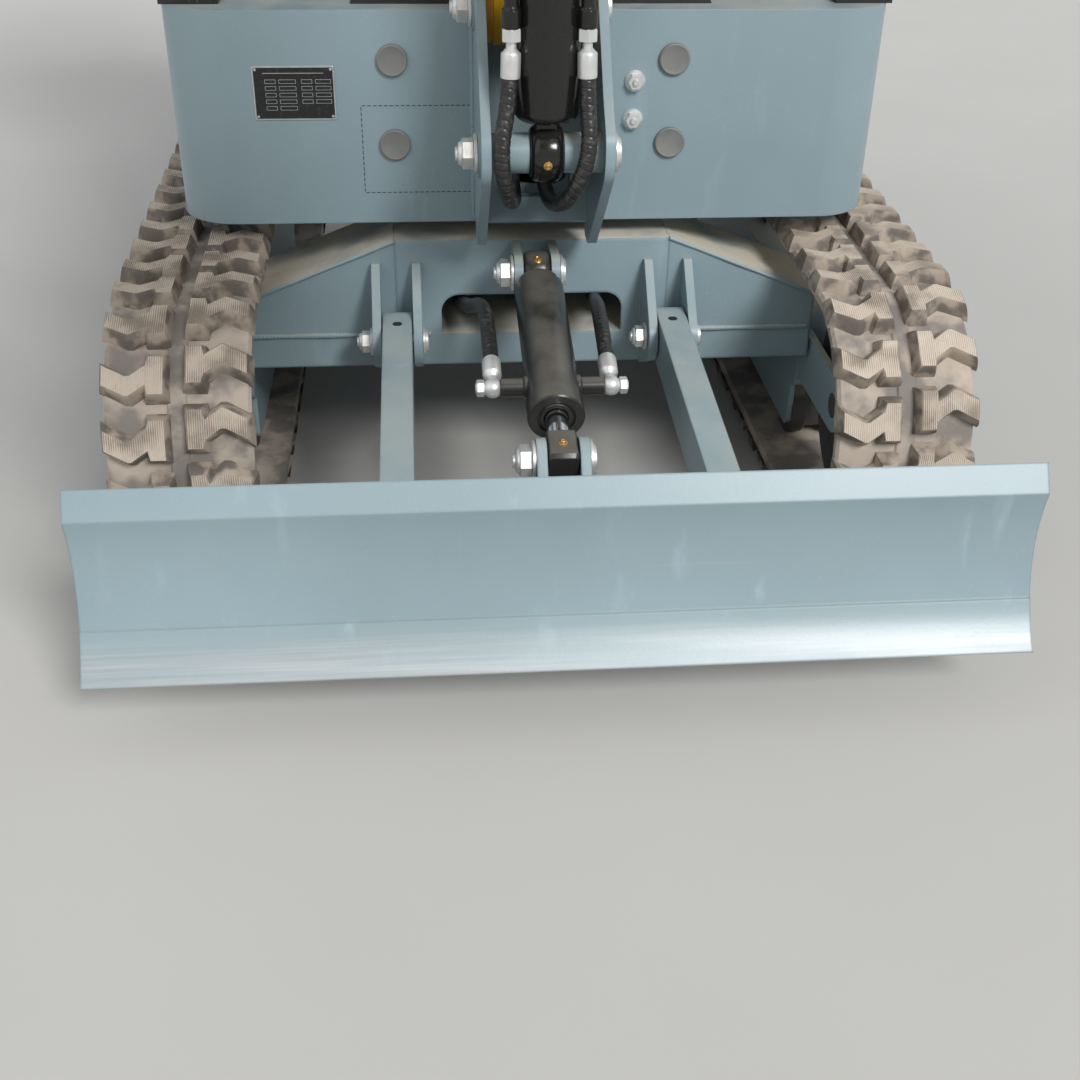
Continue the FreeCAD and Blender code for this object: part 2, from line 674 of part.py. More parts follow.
# A tooth's corners: share of the pitch, and how far below the tip as a share of its height.
TOOTH_FLANKS = ((-0.13, 0), (0.13, 0), (0.27, 1), (0.73, 1))


def roller(name, pivot, radius, half, x):
    """Roller with a waist between its two rims, which run beside the belt's middle."""
    waist = radius - S.roller_groove
    profile = outline([(0, -half, 0), (radius, -half, 0), (radius, -half / 2, 0),
                       (waist, -half / 3, 0), (waist, half / 3, 0), (radius, half / 2, 0),
                       (radius, half, 0), (0, half, 0)],
                      lambda point: Vec(x + point.y, pivot[0], pivot[1] + point.x))
    turned = doc.addObject("Part::Feature", name)
    turned.Shape = Part.Face(profile).revolve(Vec(x, *pivot), X_AXIS, 360)
    return turned


def rollers(side, sign):
    """Bottom rollers and the carrier roller of one track."""
    x = sign * S.track_gauge / 2
    height = S.lug_height + S.belt_thickness + S.roller_radius
    inside = S.frame_beam_width / 2 - 8
    pieces = [roller(f"roller_{side}_{number}", (ahead(place), height), S.roller_radius - HOLE,
                     inside, x) for number, place in enumerate(ROLLERS, start=1)]
    pieces.append(roller(f"carrier_roller_{side}", (ahead(0), S.top_run_height - S.top_roller_radius),
                         S.top_roller_radius - HOLE, 35, x))
    return node(f"rollers_{side}", group(f"rollers_{side}", pieces))


def blade_brackets():
    """Ears on the front plate that hold the blade arms and the blade cylinder."""
    front = ahead(S.front_plate_ahead)
    eye_gap = S.small_eye_width / 2 + S.side_clearance + S.plate / 2
    arm_gap = S.blade_arm_width / 2 + S.side_clearance * 2 + S.plate / 2
    ears = []
    for side, sign in SIDES:
        for place, gap in (("inner", -arm_gap), ("outer", arm_gap)):
            ears.append(lobed_plate(f"arm_ear_{side}_{place}",
                                    [(front - 6, S.blade_pin_height + 88, 6),
                                     circle(BLADE_PIN, 34), (front - 6, 219, 6),
                                     (front, 214, 0), (front, S.blade_pin_height + 93, 0)],
                                    sign * S.blade_arm_offset + gap, "sizes.plate"))
        ears.append(lobed_plate(f"cylinder_ear_{side}",
                                [circle(BLADE_CYLINDER_PIN, 26), (front, 332, 0),
                                 (front, S.centre_top - 1, 0)],
                                sign * eye_gap, "sizes.plate"))
    return ears


# Cylinders, each a barrel on its pin and a rod whose eye lies between its ears

def ram(name, foot, end, barrel_radius, rod_radius, barrel_length, eye_width, inserted, fittings=None):
    """Barrel and rod of a cylinder between two (y, z) pivots, the rod inserted this far."""
    reach = distance(foot, end)
    unit = ((end[0] - foot[0]) / reach, (end[1] - foot[1]) / reach)
    direction = (0, *unit)

    def at(travel, side=0, up=0):
        """Place along the cylinder, to one side of it, and above it."""
        return (side, foot[0] + travel * unit[0] - up * unit[1], foot[1] + travel * unit[1] + up * unit[0])

    eye_radius = barrel_radius * 0.88
    neck = eye_radius * 1.2
    collar = barrel_radius + 2
    tube = cylinder(name + "_tube", at(neck + 8), direction, barrel_radius, barrel_length - neck - 8)
    dome = doc.addObject("Part::Cone", name + "_dome")
    dome.Placement = FreeCAD.Placement(Vec(*at(neck)), FreeCAD.Rotation(Z_AXIS, Vec(*direction)))
    dome.Radius1, dome.Radius2, dome.Height = barrel_radius - 8, barrel_radius, 8
    gland = cylinder(name + "_gland", at(barrel_length - 30), direction, collar, 26)
    throat = cylinder(name + "_throat", at(0), direction, eye_width * 0.42, neck + 1)
    eye = cross_bar(name + "_eye", foot, eye_radius, eye_width)
    bore = cylinder(name + "_bore", at(neck + 26), direction, rod_radius + 0.3, barrel_length)
    hole = cross_bar(name + "_eye_hole", foot, S.pin_radius + HOLE, eye_width * 2)
    extras = fittings(name, at, direction) if fittings else []
    barrel = without(name + "_barrel", joined(name + "_body", [tube, dome, gland, throat, eye, *extras]),
                     [bore, hole])
    inside = barrel_length - inserted
    bar = cylinder(name + "_bar", at(inside), direction, rod_radius, reach - inside)
    rod_eye = cross_bar(name + "_rod_eye", end, eye_radius * 0.9, eye_width)
    block = cylinder(name + "_rod_neck", at(reach - eye_radius * 1.25), direction, eye_width * 0.45,
                     eye_radius * 0.6)
    rod = joined(name + "_rod", [bar, rod_eye, block])
    return node(name + "_barrel", barrel), node(name + "_rod", rod)


def tube_along(name, points, radius):
    """Round tube through (x, y, z) points: straight runs joined by arcs as large as fit."""
    corners = [Vec(*point) for point in points]
    edges, last = [], corners[0]
    for before, corner, after in zip(corners, corners[1:], corners[2:]):
        one, two = before - corner, after - corner
        shorter = min(one.Length, two.Length)
        one.normalize()
        two.normalize()
        half = one.getAngle(two) / 2
        reach = 0.45 * shorter
        bend = reach * math.tan(half)
        middle = (one + two).normalize()
        start, end = corner + one * reach, corner + two * reach
        edges.append(Part.makeLine(last, start))
        edges.append(Part.Arc(start, corner + middle * (bend / math.sin(half) - bend), end).toShape())
        last = end
    edges.append(Part.makeLine(last, corners[-1]))
    path = Part.Wire(edges)
    rim = Part.Wire([Part.makeCircle(radius, corners[0], corners[1] - corners[0])])
    tube = doc.addObject("Part::Feature", name)
    tube.Shape = path.makePipeShell([rim], True, True)
    return tube


def side_pipes(name, at, direction):
    """Steel pipes along the front of a barrel, from its ports to the hoses' fittings."""
    pieces = []
    port = S.boom_barrel_length - 60
    for side, sign in SIDES:
        middle, outer = Vec(*at(port)), Vec(*at(port, sign * 44, 24))
        reach = outer - middle
        pieces.append(cylinder(f"{name}_port_{side}", middle, reach, 11, reach.Length + 4))
        pieces.append(cylinder(f"{name}_pipe_{side}", at(FITTING_TRAVEL, sign * 44, 24), direction,
                               8.5, port - FITTING_TRAVEL))
        pieces.append(cylinder(f"{name}_union_{side}", at(FITTING_TRAVEL, sign * 44, 24), direction,
                               10.5, 17))
    return pieces


FITTING_TRAVEL = 135


def blade_fittings(name, at, direction):
    """Hose fittings on both sides of the barrel, and the pipe to its rear port."""
    travel = S.blade_barrel_length - 62
    pieces = []
    for side, sign in SIDES:
        bar = cylinder(f"{name}_fitting_{side}", at(travel), (sign, 0, 0), 10, S.port_reach - 9)
        ball = cylinder(f"{name}_banjo_{side}", at(travel, sign * (S.port_reach - 9)), (sign, 0, 0),
                        11.5, 17)
        nut = cylinder(f"{name}_cap_nut_{side}", at(travel, sign * (S.port_reach + 7)), (sign, 0, 0),
                       8, 13)
        pieces += [bar, ball, nut]
    reach = S.blade_barrel_radius + 11
    pipe = tube_along(f"{name}_pipe", [at(84, S.blade_barrel_radius - 8, 4), at(88, reach, 4),
                                       at(140, reach + 1, 2), at(travel, reach + 1, 0)],
                      S.pipe_radius)
    return [*pieces, pipe]


# Blade

def blade_frame():
    """Blade plate with its fold and hollow face, its two arms and the cylinder's ears."""
    fold = (ahead(S.fold_ahead), S.fold_height)
    lip = (ahead(S.lip_ahead), S.lip_height)
    edge = (ahead(S.edge_ahead), S.edge_height)
    chord = distance(fold, edge)
    down = ((edge[0] - fold[0]) / chord, (edge[1] - fold[1]) / chord)
    back = (-down[1], down[0])

    def face(travel, depth):
        return Vec(0, *along(fold, down, back, travel, depth))

    def arc(travels, depth):
        return Part.Arc(face(travels[0], depth),
                        face((travels[0] + travels[1]) / 2, depth + S.blade_hollow),
                        face(travels[1], depth)).toShape()

    thick = S.blade_thickness
    lip_front, lip_back = Vec(0, *lip), Vec(0, lip[0] + thick * 0.83, lip[1] - thick * 0.5)
    shell = Part.Wire([Part.makeLine(lip_front, face(0, 0)), arc((0, chord), 0),
                       Part.makeLine(face(chord, 0), face(chord, thick)), arc((chord, 0), thick),
                       Part.makeLine(face(0, thick), lip_back), Part.makeLine(lip_back, lip_front)])
    plate = extruded("blade_plate", shell, X_AXIS, "sizes.blade_width", True)
    bend = (chord * chord / 4 + S.blade_hollow ** 2) / (2 * S.blade_hollow)

    def hollow(travel):
        """Depth of the hollow face at a distance below the fold."""
        return S.blade_hollow - bend + math.sqrt(bend * bend - (travel - chord / 2) ** 2)

    low, high = chord, chord - S.cutter_height
    strip = []
    for proud, travels in ((-S.cutter_thickness, (high, (high + low) / 2, low)),
                           (thick / 2, (low, (high + low) / 2, high))):
        strip.append([face(travel, hollow(travel) + proud) for travel in travels])
    edges = []
    for index, points in enumerate(strip):
        edges.append(Part.Arc(*points).toShape())
        edges.append(Part.makeLine(points[2], strip[1 - index][0]))
    cutter = extruded("blade_cutter", Part.Wire(edges), X_AXIS, "sizes.blade_width", True)
    seam = [(travel, hollow(travel) + thick / 2) for travel in (160, 104, 48)]
    beam = side_plate("blade_beam", [(*face(travel, depth)[1:], 0) for travel, depth in (
        *seam, (62, thick + S.blade_beam_depth), (128, thick + S.blade_beam_depth))],
        0, "sizes.blade_width - 240")
    slope = math.degrees(math.atan2(37, 409))
    to_blade, top = heading(-slope), heading(90 - slope)
    half = S.blade_arm_height / 2
    reach = S.edge_ahead - S.blade_pin_ahead - 58
    tail = 46
    arms = []
    for side, sign in SIDES:
        corners = [(*along(BLADE_PIN, to_blade, top, -tail, -half), half - 1),
                   (*along(BLADE_PIN, to_blade, top, reach, -half), 0),
                   (*along(BLADE_PIN, to_blade, top, reach, half), 0),
                   (*along(BLADE_PIN, to_blade, top, -tail, half), half - 1)]
        arms.append(side_plate(f"blade_arm_{side}", corners, sign * S.blade_arm_offset,
                               "sizes.blade_arm_width"))
        arms.append(lobed_plate(f"blade_ear_{side}",
                                [circle(BLADE_ROD_PIN, 26),
                                 (*along(fold, down, back, 20, thick + 20), 4),
                                 (*along(fold, down, back, 120, hollow(120) + thick * 0.7), 4)],
                                sign * (S.small_eye_width / 2 + S.side_clearance + S.plate / 2),
                                "sizes.plate"))
    holes = [cross_bar("blade_pin_hole", BLADE_PIN, S.small_pin + HOLE, S.blade_width)]
    return node("blade_frame", without("blade_frame", joined("blade_welded", [plate, cutter, beam, *arms]),
                                       holes))


# House

def deck_frame():
    """Deck, front panel and skirt of the house, with its floor over the slew bearing."""
    half, wall = S.house_half_width, S.sheet_metal
    front, back = ahead(S.panel_ahead), ahead(-S.bay_front_behind - 380)
    skirt = plan_plate("deck_skirt", [(-half, front, S.house_corner), (half, front, S.house_corner),
                                      (half, back, 0), (-half, back, 0)], S.panel_bottom,
                       "sizes.deck_height - sizes.panel_bottom")
    hollow = plan_plate("deck_hollow", [(-half + wall, front + wall, S.house_corner - wall),
                                        (half - wall, front + wall, S.house_corner - wall),
                                        (half - wall, back + 1, 0), (-half + wall, back + 1, 0)],
                        S.panel_bottom - 1, "sizes.deck_height - sizes.panel_bottom - 7")
    belly = plan_plate("belly", [(-half + 1, front + 1, S.house_corner), (half - 1, front + 1,
                                                                         S.house_corner),
                                 (half - 1, back, 0), (-half + 1, back, 0)], S.belly_height, 12)
    rear = box("deck_rear_wall", (-half + 1, back - wall, S.belly_height), (half - 1, back,
                                                                          S.deck_height - 1))
    bay = box("deck_bay", (-half + 40, ahead(-S.bay_front_behind - 12), S.deck_height - 20),
              (half - 40, back - wall - 1, S.deck_height + 1))
    ring = cylinder("bearing_seat", (0, S.slew_axis_y, S.belly_height - 3), (0, 0, 1),
                    "sizes.bearing_radius - 12", 4)
    hose_hole = front_plate("panel_hose_hole", [(-46, 474, 16), (46, 474, 16), (46, 514, 16),
                                                (-46, 514, 16)], front - 1, wall + 2)
    shell = without("deck_shell", skirt, [hollow, bay, hose_hole])
    return node("deck_frame", joined("deck_frame", [shell, belly, rear, ring]))


def boom_bracket():
    """Ears that hold the boom's foot and its cylinder, with bosses and the plate between them."""
    wall = ahead(S.panel_ahead)
    centre = S.ear_inner + S.plate / 2
    foot_y, foot_z = BOOM_PIN
    ram_y, ram_z = BOOM_CYLINDER_PIN
    low = S.panel_bottom - 5
    corners = [(wall, foot_z + 62, 0), (foot_y - 26, foot_z + 62, 34), (foot_y - 68, foot_z + 10, 34),
               (ram_y - 2, ram_z + 64, 30), (ram_y - 45, ram_z + 24, 38), (ram_y - 44, ram_z - 18, 40),
               (wall - 82, low, 6), (wall - 48, low, 8), (wall, low + 44, 0)]
    ears, bosses = [], []
    start = S.eye_width / 2 + S.side_clearance
    for side, sign in SIDES:
        ears.append(side_plate(f"boom_ear_{side}", corners, sign * centre, "sizes.plate"))
        bosses.append(cylinder(f"boom_boss_{side}", (sign * start, *BOOM_CYLINDER_PIN),
                               (sign, 0, 0), "sizes.bush_radius", S.ear_inner - start + 1))
        for pin, pivot in (("foot", BOOM_PIN), ("ram", BOOM_CYLINDER_PIN)):
            bosses.append(cylinder(f"boom_{pin}_pad_{side}",
                                   (sign * (S.ear_inner + S.plate - 1), *pivot), (sign, 0, 0),
                                   "sizes.bush_radius + 4", PAD + 1))
    web = side_plate("bracket_web", [(wall, 500, 0), (wall - 40, 500, 10), (wall - 74, 446, 0),
                                     (wall - 62, 440, 0), (wall - 33, 488, 10), (wall, 488, 0)],
                     0, "sizes.ear_inner * 2 + 2")
    cut_out = front_plate("bracket_cut_out", [(-46, 474, 16), (46, 474, 16), (46, 560, 0),
                                              (-46, 560, 0)], wall - 90, 91)
    holes = [cross_bar("boom_pin_hole", BOOM_PIN, S.pin_radius + HOLE, 400),
             cross_bar("boom_cylinder_hole", BOOM_CYLINDER_PIN, S.pin_radius + HOLE, 400)]
    plate = without("bracket_plate", web, [cut_out])
    return node("boom_bracket", without("boom_bracket",
                                        joined("bracket_welded", [*ears, *bosses, plate]), holes))


PAD = 3


def round_tail(name, radius, low, high, corners):
    """Solid round in plan about the slew axis, its rim rounded by (low, high) radii."""
    profile = outline([(0, low, 0), (radius, low, corners[0]), (radius, high, corners[1]),
                       (0, high, 0)], lambda point: Vec(point.x, S.slew_axis_y, point.y))
    tail = doc.addObject("Part::Feature", name)
    tail.Shape = Part.Face(profile).revolve(Vec(0, S.slew_axis_y, 0), Z_AXIS, 360)
    return tail


def common(name, one, two):
    """What two solids share."""
    piece = doc.addObject("Part::Common", name)
    piece.Base = one
    piece.Tool = two
    return piece


def counterweight():
    """Cast tail, round in plan about the slew axis, with a notch for the tow hook's shackle."""
    half = S.house_half_width
    front = ahead(-S.bay_front_behind - 380)
    tail = round_tail("tail_round", S.tail_radius, S.counterweight_bottom, S.counterweight_top,
                      (60, 0))
    limit = box("tail_limit", (-half, front, 0), (half, ahead(-S.tail_radius - 10), 2000))
    notch = front_plate("tail_notch", [(-90, 0, 0), (90, 0, 0), (70, S.counterweight_bottom + 90, 25),
                                       (-70, S.counterweight_bottom + 90, 25)],
                        ahead(-S.tail_radius + 60), 200)
    return node("counterweight", without("counterweight", common("tail_block", tail, limit),
                                         [notch]))


def engine():
    """The engine, as one plain block at its place in the bay."""
    return node("engine_block", box("engine_block", (-230, ahead(-S.bay_front_behind - 40),
                                                     S.belly_height + 12),
                                    (230, ahead(-S.bay_front_behind - 370), 880)))


def hood_section(name, front, depth, low, high, grow=0):
    """Block across the house with rounded upper edges, smaller all round by a wall."""
    half = S.house_half_width + grow
    round_off = max(S.hood_corner + grow, 1)
    return front_plate(name, [(-half, low, 0), (half, low, 0), (half, high + grow, round_off),
                              (-half, high + grow, round_off)], front, depth)


def tail_cover(name, front, low, grow):
    """Outer or inner form of the engine hood."""
    radius = S.tail_radius - 8 + grow
    tail = round_tail(name + "_round", radius, low, S.hood_top + grow, (0, S.hood_corner + grow))
    return common(name, tail, hood_section(name + "_section", front, S.tail_radius, low,
                                           S.hood_top, grow))


HINGES = (-250, 250)
GRILLES = SimpleNamespace(ahead=370, length=240, low=70, height=210)


def hinge_axis():
    """The (y, z) of the hood's hinge, above its front edge."""
    return (ahead(-S.bay_front_behind - 300), S.hood_top + S.hinge_radius + 1)


def hood():
    """Engine hood over the tail, hinged along its front upper edge, open where the grilles sit."""
    front, low, wall = ahead(-S.bay_front_behind - 300), S.counterweight_top + 6, S.sheet_metal
    outer = tail_cover("hood_outer", front, low, 0)
    inner = tail_cover("hood_inner", front - 1, low - 1, -wall)
    start = ahead(-S.bay_front_behind - GRILLES.ahead)
    windows = box("hood_windows", (-S.house_half_width - 1, start, low + GRILLES.low),
                  (S.house_half_width + 1, start + GRILLES.length, low + GRILLES.low + GRILLES.height))
    pieces = [without("hood_shell", outer, [inner, windows])]
    pivot = hinge_axis()
    for number, x in enumerate(HINGES, start=1):
        pieces.append(cross_bar(f"hood_knuckle_{number}", pivot, "sizes.hinge_radius", 38, x))
        pieces.append(box(f"hood_leaf_{number}", (x - 19, pivot[0] + 2, S.hood_top - 1),
                          (x + 19, pivot[0] + 60, S.hood_top + 4)))
    hole = cross_bar("hood_pin_hole", pivot, S.hinge_radius / 2 + HOLE, 800)
    return node("engine_hood", without("engine_hood", joined("hood_welded", pieces), [hole]))


def hood_grilles():
    """Slatted grilles in the hood's sides."""
    half, wall = S.house_half_width, S.sheet_metal
    start = ahead(-S.bay_front_behind - GRILLES.ahead)
    low = S.counterweight_top + 6 + GRILLES.low
    count = 9
    pitch = (GRILLES.height - 16) / count
    pieces = []
    for side, sign in SIDES:
        x = sign * (half - wall / 2)
        panel = box(f"grille_panel_{side}", (x - wall / 2, start, low),
                    (x + wall / 2, start + GRILLES.length, low + GRILLES.height))
        slots = [box(f"grille_slot_{side}_{number}", (x - wall, start + 12, low + 11 + pitch * number),
                     (x + wall, start + GRILLES.length - 12, low + 11 + pitch * (number + 0.55)))
                 for number in range(count)]
        pieces.append(without(f"grille_{side}", panel, slots))
    return node("hood_grilles", group("hood_grilles", pieces))


def bay_box():
    """Fixed cowl round the engine's front, which carries the seat's back and the hood's hinges."""
    half, wall, high = S.house_half_width, S.sheet_metal, S.hood_top
    front, depth = ahead(-S.bay_front_behind), 294
    outer = hood_section("cowl_outer", front, depth, S.deck_height, high)
    inner = hood_section("cowl_inner", front + wall, depth, S.deck_height - 1, high, -wall)
    pieces = [without("cowl_shell", outer, [inner])]
    pivot = hinge_axis()
    for number, x in enumerate(HINGES, start=1):
        for end, sign in (("a", 1), ("b", -1)):
            place = x + sign * 34
            pieces.append(cross_bar(f"cowl_knuckle_{number}{end}", pivot, "sizes.hinge_radius", 28,
                                    place))
            pieces.append(box(f"cowl_leaf_{number}{end}", (place - 14, pivot[0] - 60, high - 1),
                              (place + 14, pivot[0] - 2, high + 4)))
        pieces.append(cross_bar(f"hinge_pin_{number}", pivot, S.hinge_radius / 2, 96, x))
    return node("engine_cowl", joined("engine_cowl", pieces))


def seat():
    """Seat base, cushion and back, between the consoles."""
    cowl, cowl_top = ahead(-S.bay_front_behind), S.hood_top
    front, top = cowl - 330, S.deck_height + 240
    shell = side_plate("seat_base", [(front, S.deck_height, 0), (cowl, S.deck_height, 0),
                                     (cowl, top, 0), (front - 12, top, 30)], 0, 400)
    node("seat_base", shell)
    cushion = side_plate("seat_cushion", [(front - 28, top, 30), (cowl - 4, top, 10),
                                          (cowl - 4, top + 84, 30), (front - 20, top + 104, 45)], 0, 460)
    back = side_plate("seat_back", [(cowl + 5, cowl_top, 20), (cowl + 105, cowl_top, 20),
                                    (cowl + 160, cowl_top + 370, 40),
                                    (cowl + 80, cowl_top + 380, 40)], 0, 440)
    node("seat_cushion", cushion)
    node("seat_back", back)


def consoles():
    """Consoles on both sides of the seat, each with a joystick, and the two travel levers."""
    cowl, deck = ahead(-S.bay_front_behind), S.deck_height
    high = deck + S.console_height
    for side, sign in SIDES:
        x = sign * 335
        pod = side_plate(f"console_pod_{side}", [(cowl - 350, high - 62, 26), (cowl - 300, high - 110, 20),
                                                 (cowl - 190, high - 130, 60), (cowl - 150, deck, 0),
                                                 (cowl - 6, deck, 0), (cowl - 6, high + 10, 30),
                                                 (cowl - 320, high + 10, 40)], x, 120)
        node(f"console_{side}", pod)
    sticks = []
    for side, sign in SIDES:
        x, y = sign * 335, cowl - 285
        boot = doc.addObject("Part::Cone", f"stick_boot_{side}")
        boot.Placement.Base = Vec(x, y, high + 10)
        boot.Radius1, boot.Radius2, boot.Height = 28, 11, 46
        shaft = cylinder(f"stick_shaft_{side}", (x, y, high + 40), (0, 0, 1), 6, 60)
        grip = doc.addObject("Part::Loft", f"stick_grip_{side}")
        rings = []
        for number, (rise, radius, lean) in enumerate(GRIP):
            ring = doc.addObject("Part::Feature", f"grip_ring_{side}_{number}")
            ring.Shape = Part.Wire([Part.makeCircle(radius, Vec(x, y + lean, high + 88 + rise))])
            rings.append(ring)
        grip.Sections, grip.Solid, grip.Ruled = rings, True, True
        sticks.append(joined(f"joystick_{side}", [boot, shaft, grip]))
    node("joysticks", group("joysticks", sticks))
    levers = []
    front = ahead(S.panel_ahead)
    for side, sign in SIDES:
        x, y = sign * 62, front + 110
        foot = box(f"lever_foot_{side}", (x - 22, y - 30, deck), (x + 22, y + 30, deck + 26))
        bar = tube_along(f"lever_bar_{side}", [(x, y, deck + 20), (x, y - 4, deck + 200),
                                               (x + sign * 24, y + 40, deck + 420)], 8)
        knob = cylinder(f"lever_knob_{side}", (x + sign * 20, y + 33, deck + 385), (sign * 24, 44, 220),
                        15, 105)
        pedal = box(f"pedal_{side}", (x - 34, y - 95, deck + 20), (x + 34, y - 10, deck + 26))
        stem = box(f"pedal_stem_{side}", (x - 8, y - 34, deck + 14), (x + 8, y - 20, deck + 21))
        levers.append(joined(f"travel_lever_{side}", [foot, bar, knob, pedal, stem]))
    node("travel_levers", group("travel_levers", levers))


GRIP = ((0, 13, 0), (35, 19, 2), (80, 17, 4), (112, 21, 0), (124, 14, -2))


def canopy():
    """Welded frame of four posts with rails under the canopy's moulded roof."""
    half = S.house_half_width - 40
    front, rear = ahead(S.panel_ahead - 75), ahead(-S.bay_front_behind - 200)
    rail = S.roof_height - S.rail_radius
    pieces = []
    for side, sign in SIDES:
        for place, y, foot in (("front", front, S.deck_height), ("rear", rear, S.hood_top)):
            x = sign * half if place == "front" else sign * (half - S.hood_corner)
            pieces.append(cylinder(f"post_{place}_{side}", (x, y, foot), (0, 0, 1),
                                   "sizes.post_radius", S.roof_height - foot))
            pieces.append(box(f"post_foot_{place}_{side}", (x - 38, y - 38, foot),
                              (x + 38, y + 38, foot + 10)))
        x = sign * (half - S.hood_corner)
        pieces.append(cylinder(f"side_rail_{side}", (x, front, rail), (0, 1, 0),
                               "sizes.rail_radius", rear - front))
    for number, y in enumerate((front, (front + rear) / 2, rear), start=1):
        reach = 2 * half if number == 1 else 2 * (half - S.hood_corner)
        pieces.append(cross_bar(f"cross_rail_{number}", (y, rail), "sizes.rail_radius", reach))
    node("canopy_posts", joined("canopy_posts", pieces))
    start, end, low = ahead(S.panel_ahead - 40), ahead(-S.bay_front_behind - 300), S.roof_height
    loft = doc.addObject("Part::Loft", "canopy_roof")
    rings = []
    for number, (rise, shrink) in enumerate(((0, 10), (0.45, 0), (1, 34))):
        x, radius = half + 40 - shrink, 90 - shrink
        ring = doc.addObject("Part::Feature", f"roof_ring_{number}")
        ring.Shape = outline([(-x, start + shrink, radius), (x, start + shrink, radius),
                              (x, end - shrink, radius), (-x, end - shrink, radius)],
                             plan_view(low + rise * S.roof_thickness))
        rings.append(ring)
    loft.Sections, loft.Solid, loft.Ruled = rings, True, True
    return node("canopy_roof", loft)


def panel_caps():
    """Round caps that close the mounting holes in the front panel."""
    pieces = [cylinder(f"panel_cap_{side}_{number}", (sign * 185, ahead(S.panel_ahead), height),
                       (0, -1, 0), "sizes.cap_radius", 4)
              for side, sign in SIDES for number, height in enumerate((529, 638), start=1)]
    return node("panel_caps", group("panel_caps", pieces))


# Hoses, as (x, y, z) points of their routes in the parked pose

BLADE_HOSE_ROUTES = (
    ("left", ((72.5, -284.6, 325.4), (74, -200, 346.5), (80, -90, 344), (89, 3, 309), (92, 80, 296))),
    ("right", ((-72.5, -284.6, 325.4), (-72, -200, 346.5), (-74, -90, 350), (-93, -8, 308),
               (-104, 60, 296))))
BOOM_HOSE_ROUTES = (
    ("left", ((44, -184, 704.2), (45, -184.5, 648), (50, -207, 580), (27, -196, 520),
              (10, -130, 495), (9, -30, 494), (12, 50, 498))),
    ("right", ((-44, -184, 704.2), (-45, -184.5, 650), (-59, -207, 582), (-48, -194, 524),
               (-36, -130, 499), (-32, -30, 495), (-28, 50, 498))))


def hoses(name, routes):
    """Hoses with a crimped sleeve at the end that a cylinder carries."""
    pieces = []
    for side, points in routes:
        tube = tube_along(f"{name}_{side}_tube", points, S.hose_radius)
        start, end = Vec(*points[0]), Vec(*points[1])
        sleeve = cylinder(f"{name}_{side}_sleeve", start, end - start, "sizes.hose_radius + 1.5", 34)
        pieces.append(joined(f"{name}_{side}", [tube, sleeve]))
    return node(name, group(name, pieces))


# Boom, arm and bucket

def boom():
    """Box-section boom, bent in the middle, with a fork for the arm and lugs for two cylinders."""
    length = S.boom_length
    shape = [(-42, -40, 38), (40, -50, 60), (770, 305, 260), (length + 50, -58, 42),
             (length + 50, 42, 38), (760, 492, 240), (-42, 24, 41)]
    corners = [(*boom_place(x, up), radius) for x, up, radius in shape]
    body = side_plate("boom_body", corners, 0, "sizes.boom_width")
    inside = side_plate("boom_inside", inset(corners, S.boom_wall), 0,
                        "sizes.boom_width - sizes.boom_wall * 2")
    reach = side_plate("boom_hollow_reach", [(*boom_place(x, up), 0) for x, up in (
        (75, -300), (length - 225, -300), (length - 225, 700), (75, 700))], 0, "sizes.boom_width")
    hollow = doc.addObject("Part::Common", "boom_hollow")
    hollow.Base, hollow.Tool = inside, reach
    foot = cross_bar("boom_foot", BOOM_PIN, 42, 2 * (S.ear_inner - S.side_clearance))
    slot = side_plate("boom_slot", [(*boom_place(x, up), 0) for x, up in (
        (length - 200, -200), (length + 200, -200), (length + 200, 300), (length - 200, 300))], 0,
        "sizes.arm_width + sizes.side_clearance * 2")
    lugs = []
    for side, sign in SIDES:
        x = sign * (S.eye_width / 2 + S.side_clearance + S.plate / 2)
        lugs.append(lobed_plate(f"boom_rod_lug_{side}",
                                [circle(BOOM_ROD_PIN, 32), (*boom_place(620, 276), 5),
                                 (*boom_place(790, 306), 5)], x, "sizes.plate"))
        lugs.append(lobed_plate(f"arm_cylinder_lug_{side}",
                                [circle(ARM_CYLINDER_PIN, 30), (*boom_place(585, 392), 5),
                                 (*boom_place(706, 448), 5)], x, "sizes.plate"))
        lugs.append(cylinder(f"boom_tip_pad_{side}", (sign * (S.boom_width / 2 - 1), *ARM_PIN),
                             (sign, 0, 0), 40, PAD + 1))
    holes = [cross_bar("boom_foot_hole", BOOM_PIN, S.pin_radius + HOLE, 400),
             cross_bar("boom_tip_hole", ARM_PIN, S.pin_radius + HOLE, 400),
             cross_bar("arm_cylinder_lug_hole", ARM_CYLINDER_PIN, S.pin_radius + HOLE, 400)]
    box_section = without("boom_box", body, [hollow])
    return node("boom", without("boom", joined("boom_welded", [box_section, foot, *lugs]),
                                [slot, *holes]))


